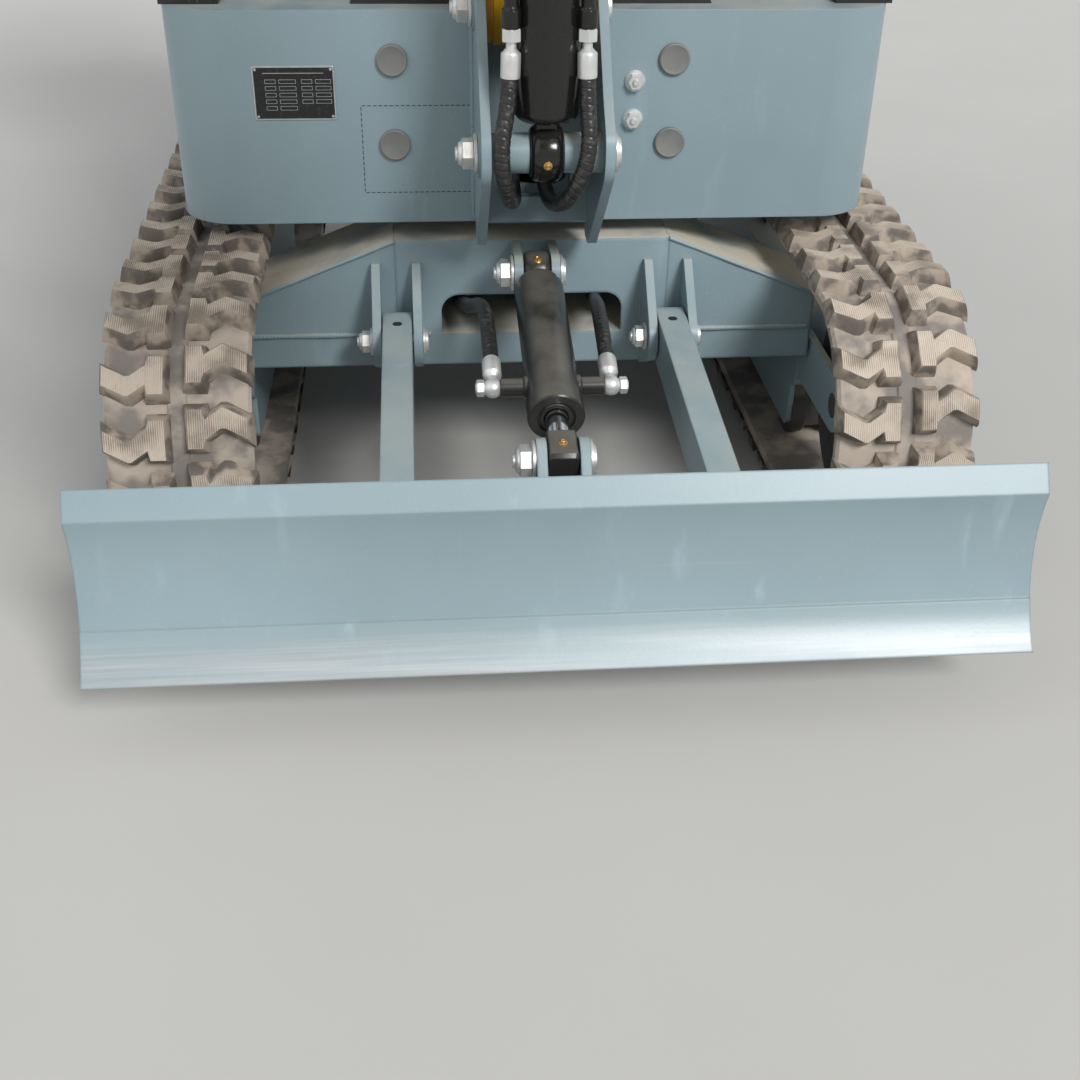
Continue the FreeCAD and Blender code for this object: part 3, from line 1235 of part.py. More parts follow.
def arm():
    """Box-section arm with a horn for its cylinder."""
    length = S.arm_length
    shape = [(-60, -62, 50), (120, -74, 200), (length + 30, -34, 29), (length + 30, 27, 26),
             (length - 220, 60, 60), (40, 98, 120), (-60, 76, 50)]
    corners = [(*arm_place(down, front), radius) for down, front, radius in shape]
    body = side_plate("arm_body", corners, 0, "sizes.arm_width")
    inside = side_plate("arm_inside", inset(corners, S.arm_wall), 0,
                        "sizes.arm_width - sizes.arm_wall * 2")
    reach = side_plate("arm_hollow_reach", [(*arm_place(down, front), 0) for down, front in (
        (150, -300), (length - 270, -300), (length - 270, 300), (150, 300))], 0, "sizes.arm_width")
    hollow = doc.addObject("Part::Common", "arm_hollow")
    hollow.Base, hollow.Tool = inside, reach
    horn_plate = lobed_plate("arm_horn", [circle(HORN_PIN, 36), circle(arm_place(0, 30), 60),
                                          circle(arm_place(0, -5), 50)], 0, "sizes.arm_width")
    horn_line = S.boom_angle + 180 + S.arm_angle - S.arm_horn_angle
    slot = lobed_plate("horn_slot", [circle(HORN_PIN, 62),
                                     circle(along(HORN_PIN, heading(horn_line), (0, 0), 200, 0), 62)],
                       0, "sizes.eye_width + sizes.side_clearance * 2")
    lugs = []
    for side, sign in SIDES:
        x = sign * (S.eye_width / 2 + S.side_clearance + S.plate / 2)
        lugs.append(lobed_plate(f"bucket_cylinder_lug_{side}",
                                [circle(BUCKET_CYLINDER_PIN, 28), (*arm_place(-30, 70), 5),
                                 (*arm_place(70, 70), 5)], x, "sizes.plate"))
    holes = [cross_bar(f"arm_hole_{number}", pivot, S.pin_radius + HOLE, 400)
             for number, pivot in enumerate((ARM_PIN, BUCKET_PIN, ROCKER_PIN,
                                             BUCKET_CYLINDER_PIN), start=1)]
    cut_horn = without("arm_horn_fork", horn_plate, [slot])
    box_section = without("arm_box", body, [hollow])
    return node("arm", without("arm", joined("arm_welded", [box_section, cut_horn, *lugs]), holes))


def rocker():
    """Pair of rocker plates on the arm, which carry the knee pin."""
    x = S.arm_width / 2 + S.side_clearance + S.plate / 2
    plates = [lobed_plate(f"rocker_{side}", [circle(ROCKER_PIN, 30), circle(KNEE_PIN, 30)],
                          sign * x, "sizes.plate") for side, sign in SIDES]
    hole = cross_bar("rocker_hole", ROCKER_PIN, S.pin_radius + HOLE, 400)
    return node("rocker", without("rocker", group("rocker_plates", plates), [hole]))


def bucket_link():
    """Link between the rocker's knee and the bucket."""
    x = S.eye_width / 2 + 2 + S.plate / 2
    plates = [lobed_plate(f"link_{side}", [circle(BUCKET_LINK_PIN, 23), circle(KNEE_PIN, 23)],
                          sign * x, "sizes.plate") for side, sign in SIDES]
    boss = cross_bar("link_boss", BUCKET_LINK_PIN, 23, 88)
    hole = cross_bar("link_hole", BUCKET_LINK_PIN, S.pin_radius + HOLE, 400)
    return node("bucket_link", without("bucket_link", joined("link_welded", [*plates, boss]),
                                       [hole]))


def bucket():
    """Digging bucket: bent shell between side plates, ears and teeth."""
    width, wall, depth = S.bucket_width, 8, S.bucket_depth
    outer = [(75, -5, 0), (430, -5, 0), (452, 22, 8), (400, depth, 130), (75, depth, 90)]
    inner = [(75 + wall, -60, 0), (425, -60, 0), (444, 22, 8), (400 - wall, depth - wall, 122),
             (75 + wall, depth - wall, 82)]
    body = side_plate("bucket_outer", [(*bucket_place(a, b), r) for a, b, r in outer], 0, width)
    hollow = side_plate("bucket_hollow", [(*bucket_place(a, b), r) for a, b, r in inner], 0,
                        width - 2 * wall)
    ears = [lobed_plate(f"bucket_ear_{side}",
                        [circle(BUCKET_PIN, 36), circle(BUCKET_LINK_PIN, 32),
                         (*bucket_place(78, -2), 2), (*bucket_place(78, 190), 2)],
                        sign * (46 + S.plate / 2), "sizes.plate") for side, sign in SIDES]
    teeth = [side_plate(f"tooth_{number}", [(*bucket_place(a, b), 0) for a, b in (
        (418, -4), (S.bucket_reach, 0), (S.bucket_reach, 3), (418, 22))],
        (number - 2.5) * (width - 50) / 3, 40) for number in range(1, 5)]
    holes = [cross_bar("bucket_pin_hole", BUCKET_PIN, S.pin_radius + HOLE, 200),
             cross_bar("bucket_link_hole", BUCKET_LINK_PIN, S.pin_radius + HOLE, 200)]
    shell = without("bucket_shell", body, [hollow])
    return node("bucket", without("bucket", joined("bucket_welded", [shell, *ears, *teeth]),
                                  holes))


# Everything, in the order of the machine

centre_frame()
bearing()
for side, sign in SIDES:
    track(side, sign)
    track_frame(side, sign)
    idler(side, sign)
    sprocket(side, sign)
    rollers(side, sign)
brackets = joined("brackets_welded", blade_brackets())
node("frame_brackets", without("frame_brackets", brackets, [
    cross_bar("bracket_arm_holes", BLADE_PIN, S.small_pin + HOLE, 600),
    cross_bar("bracket_cylinder_holes", BLADE_CYLINDER_PIN, S.pin_radius + HOLE, 200)]))
blade_frame()
ram("blade", BLADE_CYLINDER_PIN, BLADE_ROD_PIN, S.blade_barrel_radius, S.blade_piston_rod,
    S.blade_barrel_length, S.small_eye_width, 110, blade_fittings)
deck_frame()
boom_bracket()
counterweight()
engine()
bay_box()
hood()
hood_grilles()
seat()
consoles()
panel_caps()
canopy()
boom()
ram("boom", BOOM_CYLINDER_PIN, BOOM_ROD_PIN, S.boom_barrel_radius, S.boom_piston_rod,
    S.boom_barrel_length, S.eye_width, 80, side_pipes)
arm()
ram("arm", ARM_CYLINDER_PIN, HORN_PIN, S.arm_barrel_radius, S.arm_piston_rod,
    S.arm_barrel_length, S.eye_width, 190)
rocker()
bucket_link()
ram("bucket", BUCKET_CYLINDER_PIN, KNEE_PIN, S.bucket_barrel_radius, S.bucket_piston_rod,
    S.bucket_barrel_length, S.eye_width, 80)
bucket()
hoses("blade_hoses", BLADE_HOSE_ROUTES)
hoses("boom_hoses", BOOM_HOSE_ROUTES)
frame_pins = pinned("frame_pin", [(BLADE_PIN, S.blade_arm_offset), (BLADE_PIN,
                                                                   -S.blade_arm_offset)],
                    S.blade_arm_width / 2 + 2 * S.side_clearance + S.plate, S.small_pin)
frame_pins += pinned("blade_cylinder_pin", [(BLADE_CYLINDER_PIN, 0)],
                     S.small_eye_width / 2 + S.side_clearance + S.plate, S.pin_radius)
node("frame_pins", group("frame_pins", frame_pins))
ear_span = S.ear_inner + S.plate + PAD
node("house_pins", group("house_pins", pinned("house_pin", [(BOOM_PIN, 0), (BOOM_CYLINDER_PIN, 0)],
                                              ear_span, S.pin_radius)))
lug_span = S.eye_width / 2 + S.side_clearance + S.plate
node("boom_pins", group("boom_pins", pinned("boom_pin", [(ARM_PIN, 0)], S.boom_width / 2 + PAD,
                                            S.pin_radius)
                        + pinned("arm_cylinder_pin", [(ARM_CYLINDER_PIN, 0)], lug_span,
                                 S.pin_radius)))
node("arm_pins", group("arm_pins", pinned("rocker_pin", [(ROCKER_PIN, 0)],
                                          S.arm_width / 2 + S.side_clearance + S.plate,
                                          S.pin_radius)
                       + pinned("bucket_cylinder_pin", [(BUCKET_CYLINDER_PIN, 0)], lug_span,
                                S.pin_radius)))
node("bucket_pins", group("bucket_pins", pinned("bucket_pin", [(BUCKET_PIN, 0),
                                                              (BUCKET_LINK_PIN, 0)],
                                                46 + S.plate, S.pin_radius)))

doc.recompute()
for thing in doc.Objects:
    faults = [state for state in thing.State if state in ("Invalid", "Error")]
    if faults:
        raise RuntimeError(f"{thing.Name} {faults}")
low, high = Vec(1e9, 1e9, 1e9), Vec(-1e9, -1e9, -1e9)
for piece in NODES:
    if piece.Shape.isNull() or not piece.Shape.isValid():
        raise RuntimeError(f"{piece.Label} has no valid shape")
for piece in NODES:
    piece.Shape.exportStep(f"parts/{piece.Label}.step")
    edge = piece.Shape.BoundBox
    low = Vec(min(low.x, edge.XMin), min(low.y, edge.YMin), min(low.z, edge.ZMin))
    high = Vec(max(high.x, edge.XMax), max(high.y, edge.YMax), max(high.z, edge.ZMax))
    print(piece.Label, len(piece.Shape.Solids), round(piece.Shape.Volume / 1000), "cm3")
print("box", low, high)
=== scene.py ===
import math
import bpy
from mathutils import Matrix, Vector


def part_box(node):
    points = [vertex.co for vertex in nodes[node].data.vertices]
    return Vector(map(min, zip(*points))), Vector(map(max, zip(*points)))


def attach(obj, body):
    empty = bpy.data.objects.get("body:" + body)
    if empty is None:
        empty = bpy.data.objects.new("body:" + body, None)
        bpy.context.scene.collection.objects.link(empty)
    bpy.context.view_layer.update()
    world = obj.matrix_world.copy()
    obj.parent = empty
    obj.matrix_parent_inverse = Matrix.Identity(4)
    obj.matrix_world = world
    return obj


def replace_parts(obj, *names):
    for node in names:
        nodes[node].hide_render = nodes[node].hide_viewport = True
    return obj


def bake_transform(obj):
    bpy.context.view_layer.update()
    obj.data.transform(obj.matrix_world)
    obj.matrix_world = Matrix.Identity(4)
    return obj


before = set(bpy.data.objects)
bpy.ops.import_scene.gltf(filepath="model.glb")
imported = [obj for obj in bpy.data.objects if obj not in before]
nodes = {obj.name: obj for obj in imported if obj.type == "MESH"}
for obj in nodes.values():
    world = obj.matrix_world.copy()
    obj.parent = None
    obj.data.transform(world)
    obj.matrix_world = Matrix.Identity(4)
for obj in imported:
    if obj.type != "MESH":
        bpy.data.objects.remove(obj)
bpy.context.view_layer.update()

from types import SimpleNamespace

import bmesh
import bpy
from mathutils import Matrix, Vector

SIDES = (("left", 1), ("right", -1))

# Camera, standing in front of the blade and a little to the machine's right of the middle.
# It looks down on the machine's front, as the photograph does.
YAW, DOWN, ROLL = (math.radians(angle) for angle in (-5.27, 32.03, 0.955))
CAMERA_PLACE, SENSOR, LENS = (-0.1513, -1.8093, 1.0512), 36, 45.5
level = Vector((math.cos(YAW), math.sin(YAW), 0))
forward = Vector((-math.sin(YAW) * math.cos(DOWN), math.cos(YAW) * math.cos(DOWN), -math.sin(DOWN)))
upright = level.cross(forward)
right = level * math.cos(ROLL) + upright * math.sin(ROLL)
up = upright * math.cos(ROLL) - level * math.sin(ROLL)
camera = bpy.data.objects.new("camera", bpy.data.cameras.new("camera"))
bpy.context.scene.collection.objects.link(camera)
camera.data.sensor_width, camera.data.lens = SENSOR, LENS
camera.data.clip_start = 0.05
turn = Matrix((right, up, -forward)).transposed().to_4x4()
camera.matrix_world = Matrix.Translation(CAMERA_PLACE) @ turn
bpy.context.scene.camera = camera


# Floor of the studio: pale, matt and plain, so that the machine's shadow stays on it.
# Soft daylight from all round, and one broad lamp from the machine's left, above the blade.
class Wire:
    """A shader socket; Python's operators on it add the Math node that works them out."""

    def __init__(self, socket):
        self.socket = socket

    def maths(self, operation, one, two=0.0, three=0.0):
        node = self.socket.id_data.nodes.new("ShaderNodeMath")
        node.operation = operation
        for slot, value in zip(node.inputs, (one, two, three)):
            feed(slot, value)
        return Wire(node.outputs[0])

    def __add__(self, other):
        return self.maths("ADD", self, other)

    def __sub__(self, other):
        return self.maths("SUBTRACT", self, other)

    def __rsub__(self, other):
        return self.maths("SUBTRACT", other, self)

    def __mul__(self, other):
        return self.maths("MULTIPLY", self, other)

    __radd__, __rmul__ = __add__, __mul__

    def ramp(self, low, high):
        """0 below low, 1 above high, and smooth between."""
        node = self.socket.id_data.nodes.new("ShaderNodeMapRange")
        node.interpolation_type = "SMOOTHSTEP"
        for slot, value in zip(node.inputs, (self, low, high)):
            feed(slot, value)
        return Wire(node.outputs[0])

    def wave(self, length):
        """Sine along this value, one turn in each length."""
        return self.maths("SINE", self * (2 * math.pi / length))

    def size(self):
        return self.maths("ABSOLUTE", self)

    def at_most(self, limit):
        return self.maths("MINIMUM", self, limit)


def feed(slot, value):
    """Give a shader's input a constant, or link it to a wire."""
    if isinstance(value, Wire):
        slot.id_data.links.new(value.socket, slot)
    else:
        slot.default_value = value


def tint(red, green, blue):
    """Colour as seen on a screen, 0 to 255, as a shader's linear colour."""
    parts = [part / 255 for part in (red, green, blue)]
    return (*(part / 12.92 if part < 0.04 else ((part + 0.055) / 1.055) ** 2.4 for part in parts), 1)


class Finish:
    """One procedural finish: a Principled shader and the nodes that vary it over the surface."""

    def __init__(self, name, **constants):
        self.material = bpy.data.materials.new(name)
        self.material.use_nodes = True
        self.tree = self.material.node_tree
        self.shader = self.tree.nodes["Principled BSDF"]
        self.set(**constants)
        self.at = self.node("TexCoord", output="Object")
        parts = self.tree.nodes.new("ShaderNodeSeparateXYZ")
        feed(parts.inputs[0], self.at)
        self.x, self.y, self.z = (Wire(out) for out in parts.outputs)

    def node(self, kind, settings=None, inputs=None, output=0):
        made = self.tree.nodes.new("ShaderNode" + kind)
        for key, value in (settings or {}).items():
            setattr(made, key, value)
        for key, value in (inputs or {}).items():
            feed(made.inputs[key], value)
        return Wire(made.outputs[output])

    def set(self, **sockets):
        for name, value in sockets.items():
            feed(self.shader.inputs[name.replace("_", " ")], value)

    def noise(self, scale, detail=3.0, stretch=(1, 1, 1)):
        at = self.at
        if stretch != (1, 1, 1):
            at = self.node("VectorMath", {"operation": "MULTIPLY"}, {0: at, 1: stretch})
        return self.node("TexNoise", {}, {"Vector": at, "Scale": scale, "Detail": detail})

    def mix(self, mask, one, two):
        """Two tones by a mask, each a wire or a colour as seen on a screen."""
        one, two = (tone if isinstance(tone, Wire) else tint(*tone) for tone in (one, two))
        return self.node("Mix", {"data_type": "RGBA"}, {0: mask, 6: one, 7: two}, 2)

    def normal_z(self):
        parts = self.tree.nodes.new("ShaderNodeSeparateXYZ")
        feed(parts.inputs[0], self.node("TexCoord", output="Normal"))
        return Wire(parts.outputs[2])

    def relief(self, height, depth, strength=1.0):
        """Small unevenness of the surface, as deep as this where height goes from 0 to 1."""
        self.set(Normal=self.node("Bump", {}, {"Height": height, "Distance": depth,
                                               "Strength": strength}))


def placed(name, data):
    """A new object in the scene that shows this data."""
    thing = bpy.data.objects.new(name, data)
    bpy.context.collection.objects.link(thing)
    return thing


def mottled(name, grain, dark, light, bump=None, **constants):
    """A finish clouded between two tones by noise of this grain; bump is (grain, depth, strength)."""
    finish = Finish(name, **constants)
    finish.set(Base_Color=finish.mix(finish.noise(*grain), dark, light))
    if bump:
        finish.relief(finish.noise(*bump[0]), *bump[1:])
    return finish


floor = placed("floor", bpy.data.meshes.new("floor"))
floor.data.from_pydata([(-9, -9, 0), (9, -9, 0), (9, 9, 0), (-9, 9, 0)], [], [(0, 1, 2, 3)])
pale_floor = mottled("pale_floor", (2.5,), (194, 192, 188), (200, 198, 194), Roughness=0.9)
floor.data.materials.append(pale_floor.material)
bpy.context.scene.view_settings.view_transform = "Standard"

world = bpy.data.worlds.new("daylight")
world.use_nodes = True
world.node_tree.nodes["Background"].inputs["Color"].default_value = (0.93, 0.97, 1.0, 1)
world.node_tree.nodes["Background"].inputs["Strength"].default_value = 0.55
bpy.context.scene.world = world
for name, strength, spread, heading in (
        ("broad_lamp", 2.3, 18, (-0.45, 0.9, -0.8)), ("fill_lamp", 0.35, 60, (0.8, 0.5, -0.7))):
    lamp = placed(name, bpy.data.lights.new(name, "SUN"))
    lamp.data.energy, lamp.data.angle = strength, math.radians(spread)
    lamp.rotation_mode = "QUATERNION"
    lamp.rotation_quaternion = Vector(heading).to_track_quat("-Z", "Y")


# Painted steel: frame, house and lifting gear, welded from plate and sprayed.
# Dust lies on what faces up, fine specks stick to the rest, and edges catch the light.
BLUE_GREY, EARTH = (140, 160, 167), (206, 199, 182)
WORN_STEEL, SCORED_STEEL = (190, 194, 196), (138, 144, 146)


def painted(name, colour, dust=0.5, gloss=0.34, streaks=0.25, bare=None, soft=0.0016):
    """Sprayed paint; bare gives the share of worn steel at each place, soft the edges' roundness."""
    finish = Finish(name, Roughness=gloss)
    shade, light = ([part * share for part in colour] for share in (0.9, 1.07))
    tone = finish.mix(finish.noise(3.2, 4), shade, light)
    specks = finish.noise(420, 1).ramp(0.69, 0.75) * finish.noise(9, 2).ramp(0.42, 0.66)
    rubbed = finish.noise(26, 6, (1, 1, 0.22)).ramp(0.6, 0.8) * streaks
    tone = finish.mix(rubbed, tone, [min(part * 1.22, 235) for part in colour])
    lying = finish.normal_z().ramp(0.55, 0.95) * finish.noise(14, 5).ramp(0.22, 0.6)
    film = lying * dust + specks * min(dust, 0.5)
    tone = finish.mix(film, tone, EARTH)
    rough = film * 0.5 + rubbed * 0.1 + gloss
    if bare:
        worn = bare(finish)
        scored = finish.noise(40, 4, (0.12, 1, 9))
        tone = finish.mix(worn, tone, finish.mix(scored, SCORED_STEEL, WORN_STEEL))
        rough = rough + worn * (scored * 0.25 - 0.05)
        finish.set(Metallic=worn * 0.25)
    soft_edge = finish.node("Bevel", {"samples": 4}, {"Radius": soft})
    finish.set(Base_Color=tone, Roughness=rough, Normal=finish.node(
        "Bump", {}, {"Height": finish.noise(240, 2), "Distance": 0.0002, "Strength": 0.35,
                     "Normal": soft_edge}))
    return finish


def dress(finish, *names):
    for name in names:
        nodes[name].data.materials.clear()
        nodes[name].data.materials.append(finish.material)


house_paint = painted("blue_grey_paint", BLUE_GREY, 0.35)
dress(house_paint, "deck_frame", "boom_bracket", "counterweight", "engine_cowl", "engine_hood")
frame_paint = painted("blue_grey_dusty_paint", BLUE_GREY, 0.5, 0.34)
dress(frame_paint, "frame_brackets", "track_frame_left", "track_frame_right", "tow_lug")
box_paint = painted("blue_grey_frame_paint", BLUE_GREY, 1.1, 0.38, soft=0.006)
dress(box_paint, "centre_frame", "frame_legs")
yellow = painted("yellow_paint", (222, 168, 24), 0.25, 0.3)
dress(yellow, "boom", "arm", "bucket", "rocker", "bucket_link")
black_paint = painted("black_paint", (38, 38, 38), 0.3, 0.32, 0.15)
dress(black_paint, "canopy_posts", "travel_levers", "seat_base")
dark_steel = painted("dark_steel", (70, 68, 66), 0.6, 0.5)
dress(dark_steel, "slew_bearing", "idler_left", "idler_right", "sprocket_left", "sprocket_right",
      "rollers_left", "rollers_right", "engine_block")


# Dozer blade: one plate, folded along its top and rolled hollow, with a cutter bar along its foot.
# Gravel has worn the cutter to bare steel and drawn faint scratches across the paint.
CUTTER_TOP, CUTTER_FOOT = 0.150, 0.100
FACE_FRONT, FACE_BACK = -0.53, -0.50


def scoured(finish):
    low = 1 - finish.z.ramp(CUTTER_FOOT, CUTTER_TOP)
    front = 1 - finish.y.ramp(FACE_FRONT, FACE_BACK)
    ragged = finish.noise(7, 6, (0.35, 1, 6)).ramp(0.3, 0.62)
    scratches = finish.noise(60, 3, (0.05, 1, 2.5)).ramp(0.68, 0.75) * finish.noise(4, 2).ramp(0.5, 0.65)
    return (low * (ragged * 0.55 + 0.4) * front + scratches * 0.4).at_most(0.95)


blade_paint = painted("blue_grey_blade_paint", (140, 160, 166), 0.25, 0.36, 0.4, scoured, soft=0.004)
dress(blade_paint, "blade_frame")


# Rubber tracks: a steel-cored belt with two rows of chevron lugs beside a bare middle groove.
# Fine ridges run round the lugs' tops, and dried mud lies over everything but their sides.
WHEELS = ((-0.120, 0.198, 0.157), (0.120, 0.083, 0.045), (0.840, 0.083, 0.045),
          (1.080, 0.207, 0.166), (0.480, 0.340, 0.032))
BELT, LUG, PITCH, TRACK_X, ROW_SHIFT = 0.020, 0.018, 0.07416, 0.460, 0.012
# Corners of one lug: distance from the belt's middle, and along it.
LUG_CORNERS = ((0.0125, -0.0255), (0.0335, -0.0255), (0.0360, -0.0140), (0.0550, -0.0270),
               (0.0600, -0.0270), (0.0890, -0.0120), (0.0890, 0.0160), (0.0600, 0.0010),
               (0.0550, 0.0010), (0.0360, 0.0140), (0.0335, 0.0255), (0.0125, 0.0255))
# Rings up one lug: height over the belt, and how far its outline is drawn in there.
LUG_RINGS = ((-0.005, -0.0050), (0.0030, -0.0038), (0.0110, -0.0018), (LUG - 0.0015, 0.0),
             (LUG, 0.0014))
# Half of the belt's section: distance from its middle, and how far out from its inner face.
BELT_HALF = ((0.0105, 0.020), (0.013, 0.0175), (0.034, 0.0175), (0.060, 0.0185), (0.086, 0.019),
             (0.090, 0.015), (0.090, 0.006), (0.088, 0.002))
BELT_SECTION = [*((-across, depth) for across, depth in BELT_HALF[::-1]), *BELT_HALF,
                (0.030, 0.000), (-0.030, 0.000)]


class Work:
    """Corners and faces of one piece, gathered until it is made."""

    def __init__(self):
        self.dots, self.faces, self.finish_of = [], [], []

    def skin(self, rings, finish=0, ends=True, ring_closed=True, row_closed=False):
        """Faces from ring to ring, and over the two ends."""
        start, size = len(self.dots), len(rings[0])
        for ring in rings:
            self.dots += [tuple(dot) for dot in ring]
        rows = len(rings) if row_closed else len(rings) - 1
        for row in range(rows):
            one, two = start + row * size, start + (row + 1) % len(rings) * size
            for spot in range(size if ring_closed else size - 1):
                after = (spot + 1) % size
                self.faces.append((one + spot, one + after, two + after, two + spot))
                self.finish_of.append(finish)
        if ends:
            self.faces.append(tuple(range(start, start + size))[::-1])
            self.faces.append(tuple(range(start + (len(rings) - 1) * size, start + len(rings) * size)))
            self.finish_of += [finish, finish]

    def turned(self, place, way, rows, finish=0, sides=24, hollow=False):
        """Round form along a line from a place: (distance along, radius) rows. Six sides make a nut;
        the rows of a hollow form go out along its outside and back along its bore."""
        way = Vector(way).normalized()
        across = way.cross(Vector((0, 0, 1) if abs(way.z) < 0.9 else (1, 0, 0))).normalized()
        other = way.cross(across)
        turns = [2 * math.pi * side / sides for side in range(sides)]
        rings = [[Vector(place) + way * along + (across * math.cos(angle) + other * math.sin(angle))
                  * radius for angle in turns] for along, radius in rows]
        self.skin(rings, finish, not hollow, row_closed=hollow)

    def raised(self, place, across, rise, out, outline, rows, finish=0):
        """Flat form standing out of a face: rows of (how proud, how far drawn in)."""
        place, across, rise, out = map(Vector, (place, across, rise, out))
        self.skin([[place + across * dot.x + rise * dot.y + out * proud for dot in inset(outline, drawn)]
                   for proud, drawn in rows], finish)

    def made(self, name, body, slot, *finishes, sharp=35):
        """The finished piece, riding on a body; edges turn sharp above this angle."""
        mesh = bpy.data.meshes.new(name)
        mesh.from_pydata(self.dots, [], self.faces)
        form = bmesh.new()
        form.from_mesh(mesh)
        for face, finish in zip(form.faces, self.finish_of):
            face.material_index, face.smooth = finish, True
        bmesh.ops.recalc_face_normals(form, faces=form.faces)
        form.to_mesh(mesh)
        form.free()
        mesh.set_sharp_from_angle(angle=math.radians(sharp))
        for finish in finishes:
            mesh.materials.append(finish.material)
        thing = placed(name, mesh)
        if body:
            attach(thing, body)
        return thing


def belt_line():
    """Outline of the wheels under the belt: place and outward direction, every few degrees."""
    spots = [(y + radius * math.cos(angle), z + radius * math.sin(angle), math.cos(angle), math.sin(angle))
             for y, z, radius in WHEELS for angle in (math.radians(3 * step) for step in range(120))]
    spots.sort()
    hull = []
    for order in (spots, spots[::-1]):
        chain = []
        for spot in order:
            while len(chain) > 1 and ((chain[-1][0] - chain[-2][0]) * (spot[1] - chain[-2][1])
                                      <= (chain[-1][1] - chain[-2][1]) * (spot[0] - chain[-2][0])):
                chain.pop()
            chain.append(spot)
        hull += chain[:-1]
    return hull


def outer_line():
    """The belt's outside: distance travelled, place and direction at each corner of the line."""
    travel, last, marks = 0.0, None, []
    line = belt_line()
    for y, z, out_y, out_z in line + line[:1]:
        spot = Vector((y + out_y * BELT, z + out_z * BELT))
        travel += (spot - last).length if last else 0.0
        marks.append((travel, spot, Vector((out_y, out_z))))
        last = spot
    return marks


def belt_spot(marks, travel):
    travel %= marks[-1][0]
    for one, two in zip(marks, marks[1:]):
        if travel <= two[0]:
            share = (travel - one[0]) / max(two[0] - one[0], 1e-9)
            return one[1].lerp(two[1], share), one[2].lerp(two[2], share).normalized()
    return marks[0][1:]


def inset(corners, depth):
    """An outline drawn in by a depth, or out where it is below 0."""
    drawn = []
    for before, corner, after in zip(corners[-1:] + corners[:-1], corners, corners[1:] + corners[:1]):
        one, two = ((Vector(b) - Vector(a)).normalized() for a, b in ((before, corner), (corner, after)))
        inward = Vector((-one.y - two.y, one.x + two.x))
        drawn.append(Vector(corner) + inward * (depth / max(1 + one.dot(two), 0.4)))
    return drawn


def track(side, sign):
    middle, line, marks = sign * TRACK_X, belt_line(), outer_line()
    belt = Work()
    belt.skin([[(middle + across, y + out_y * depth, z + out_z * depth) for across, depth in BELT_SECTION]
               for y, z, out_y, out_z in line], ends=False, row_closed=True)
    belt = belt.made(f"track_belt_{side}", "undercarriage", "rubber_track", muddy_rubber[side])
    lugs = Work()
    count = round(marks[-1][0] / PITCH)
    for number in range(count):
        for row, shift in ((1, 0.0), (-1, ROW_SHIFT)):
            spot, out = belt_spot(marks, number * marks[-1][0] / count + shift)
            along = Vector((-out.y, out.x))
            rings = [[(middle + row * dot.x, *(spot + along * (row * dot.y) + out * height))
                      for dot in inset(list(LUG_CORNERS), drawn)] for height, drawn in LUG_RINGS]
            lugs.skin(rings, 0, ends=False)
            top = len(lugs.dots)
            lugs.faces.append(tuple(range(top - len(rings[0]), top)))
            lugs.finish_of.append(1)
    lugs = lugs.made(f"track_lugs_{side}", "undercarriage", "rubber_track", lug_rubber, lug_tops)
    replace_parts(belt, f"track_{side}")
    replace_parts(lugs, f"track_{side}")


def mud_over(finish, colour, mud, share, grain=18):
    """Rubber with dried mud lying over it in patches, thick where share is high; gives the
    patches and a fine grain for the relief."""
    patches = (finish.noise(grain, 6) + share).ramp(0.42, 0.62)
    fine = finish.noise(260, 3)
    cake = finish.mix(finish.noise(55, 4), [part * 0.86 for part in mud], mud)
    finish.set(Base_Color=finish.mix(patches, colour, cake))
    return patches, fine


muddy_rubber = {}
for side, sign in SIDES:
    muddy_rubber[side] = Finish(f"muddy_rubber_{side}", Roughness=0.75)
    groove = 1 - (muddy_rubber[side].x - sign * TRACK_X).size().ramp(0.011, 0.014)
    patches, fine = mud_over(muddy_rubber[side], (134, 127, 121), (200, 186, 171), 0.03 - groove * 0.05)
    muddy_rubber[side].relief(patches * 0.5 + fine, 0.0009, 0.6)
lug_rubber = Finish("lug_side_rubber", Roughness=0.8)
fine = mud_over(lug_rubber, (112, 104, 97), (186, 171, 155), 0.02, 34)[1]
lug_rubber.relief(fine, 0.0006, 0.6)
lug_tops = Finish("ridged_lug_rubber", Roughness=0.85)
ridges = lug_tops.x.wave(0.0027)
fine = mud_over(lug_tops, (150, 136, 123), (228, 212, 194), ridges * 0.07 + 0.07)[1]
lug_tops.relief(ridges * 0.5 + fine * 0.5, 0.0012, 0.8)
for side, sign in SIDES:
    track(side, sign)


# Wheels of the track gear: bolted drive drum at the rear, capped idler at the front.
# Steel, greasy and dusty; the bolts are plated.
DRIVE, IDLER = (1.080, 0.207), (-0.120, 0.198)
BOLT_CIRCLE, HUB_BOLTS = 0.082, 9
HUB_FACE, PLUG_FACE, IDLER_FACE = 0.502, 0.527, 0.506

zinc = Finish("zinc_plating", Roughness=0.32, Metallic=0.6)
cloud = zinc.noise(60, 4)
zinc.set(Base_Color=zinc.mix(cloud, (204, 205, 205), (242, 242, 238)), Roughness=cloud * 0.3 + 0.2)
zinc.relief(zinc.noise(500, 2), 0.0002, 0.5)


def bolt_head(work, place, way, radius, height, finish=0):
    """Hexagon head with a chamfered rim, on its washer."""
    work.turned(place, way, (
        (0, radius * 1.35), (height * 0.22, radius * 1.35), (height * 0.28, radius * 1.28)), finish)
    start = Vector(place) + Vector(way).normalized() * height * 0.28
    work.turned(start, way, ((0, radius), (height * 0.6, radius), (height * 0.72, radius * 0.86)),
                finish, 6)


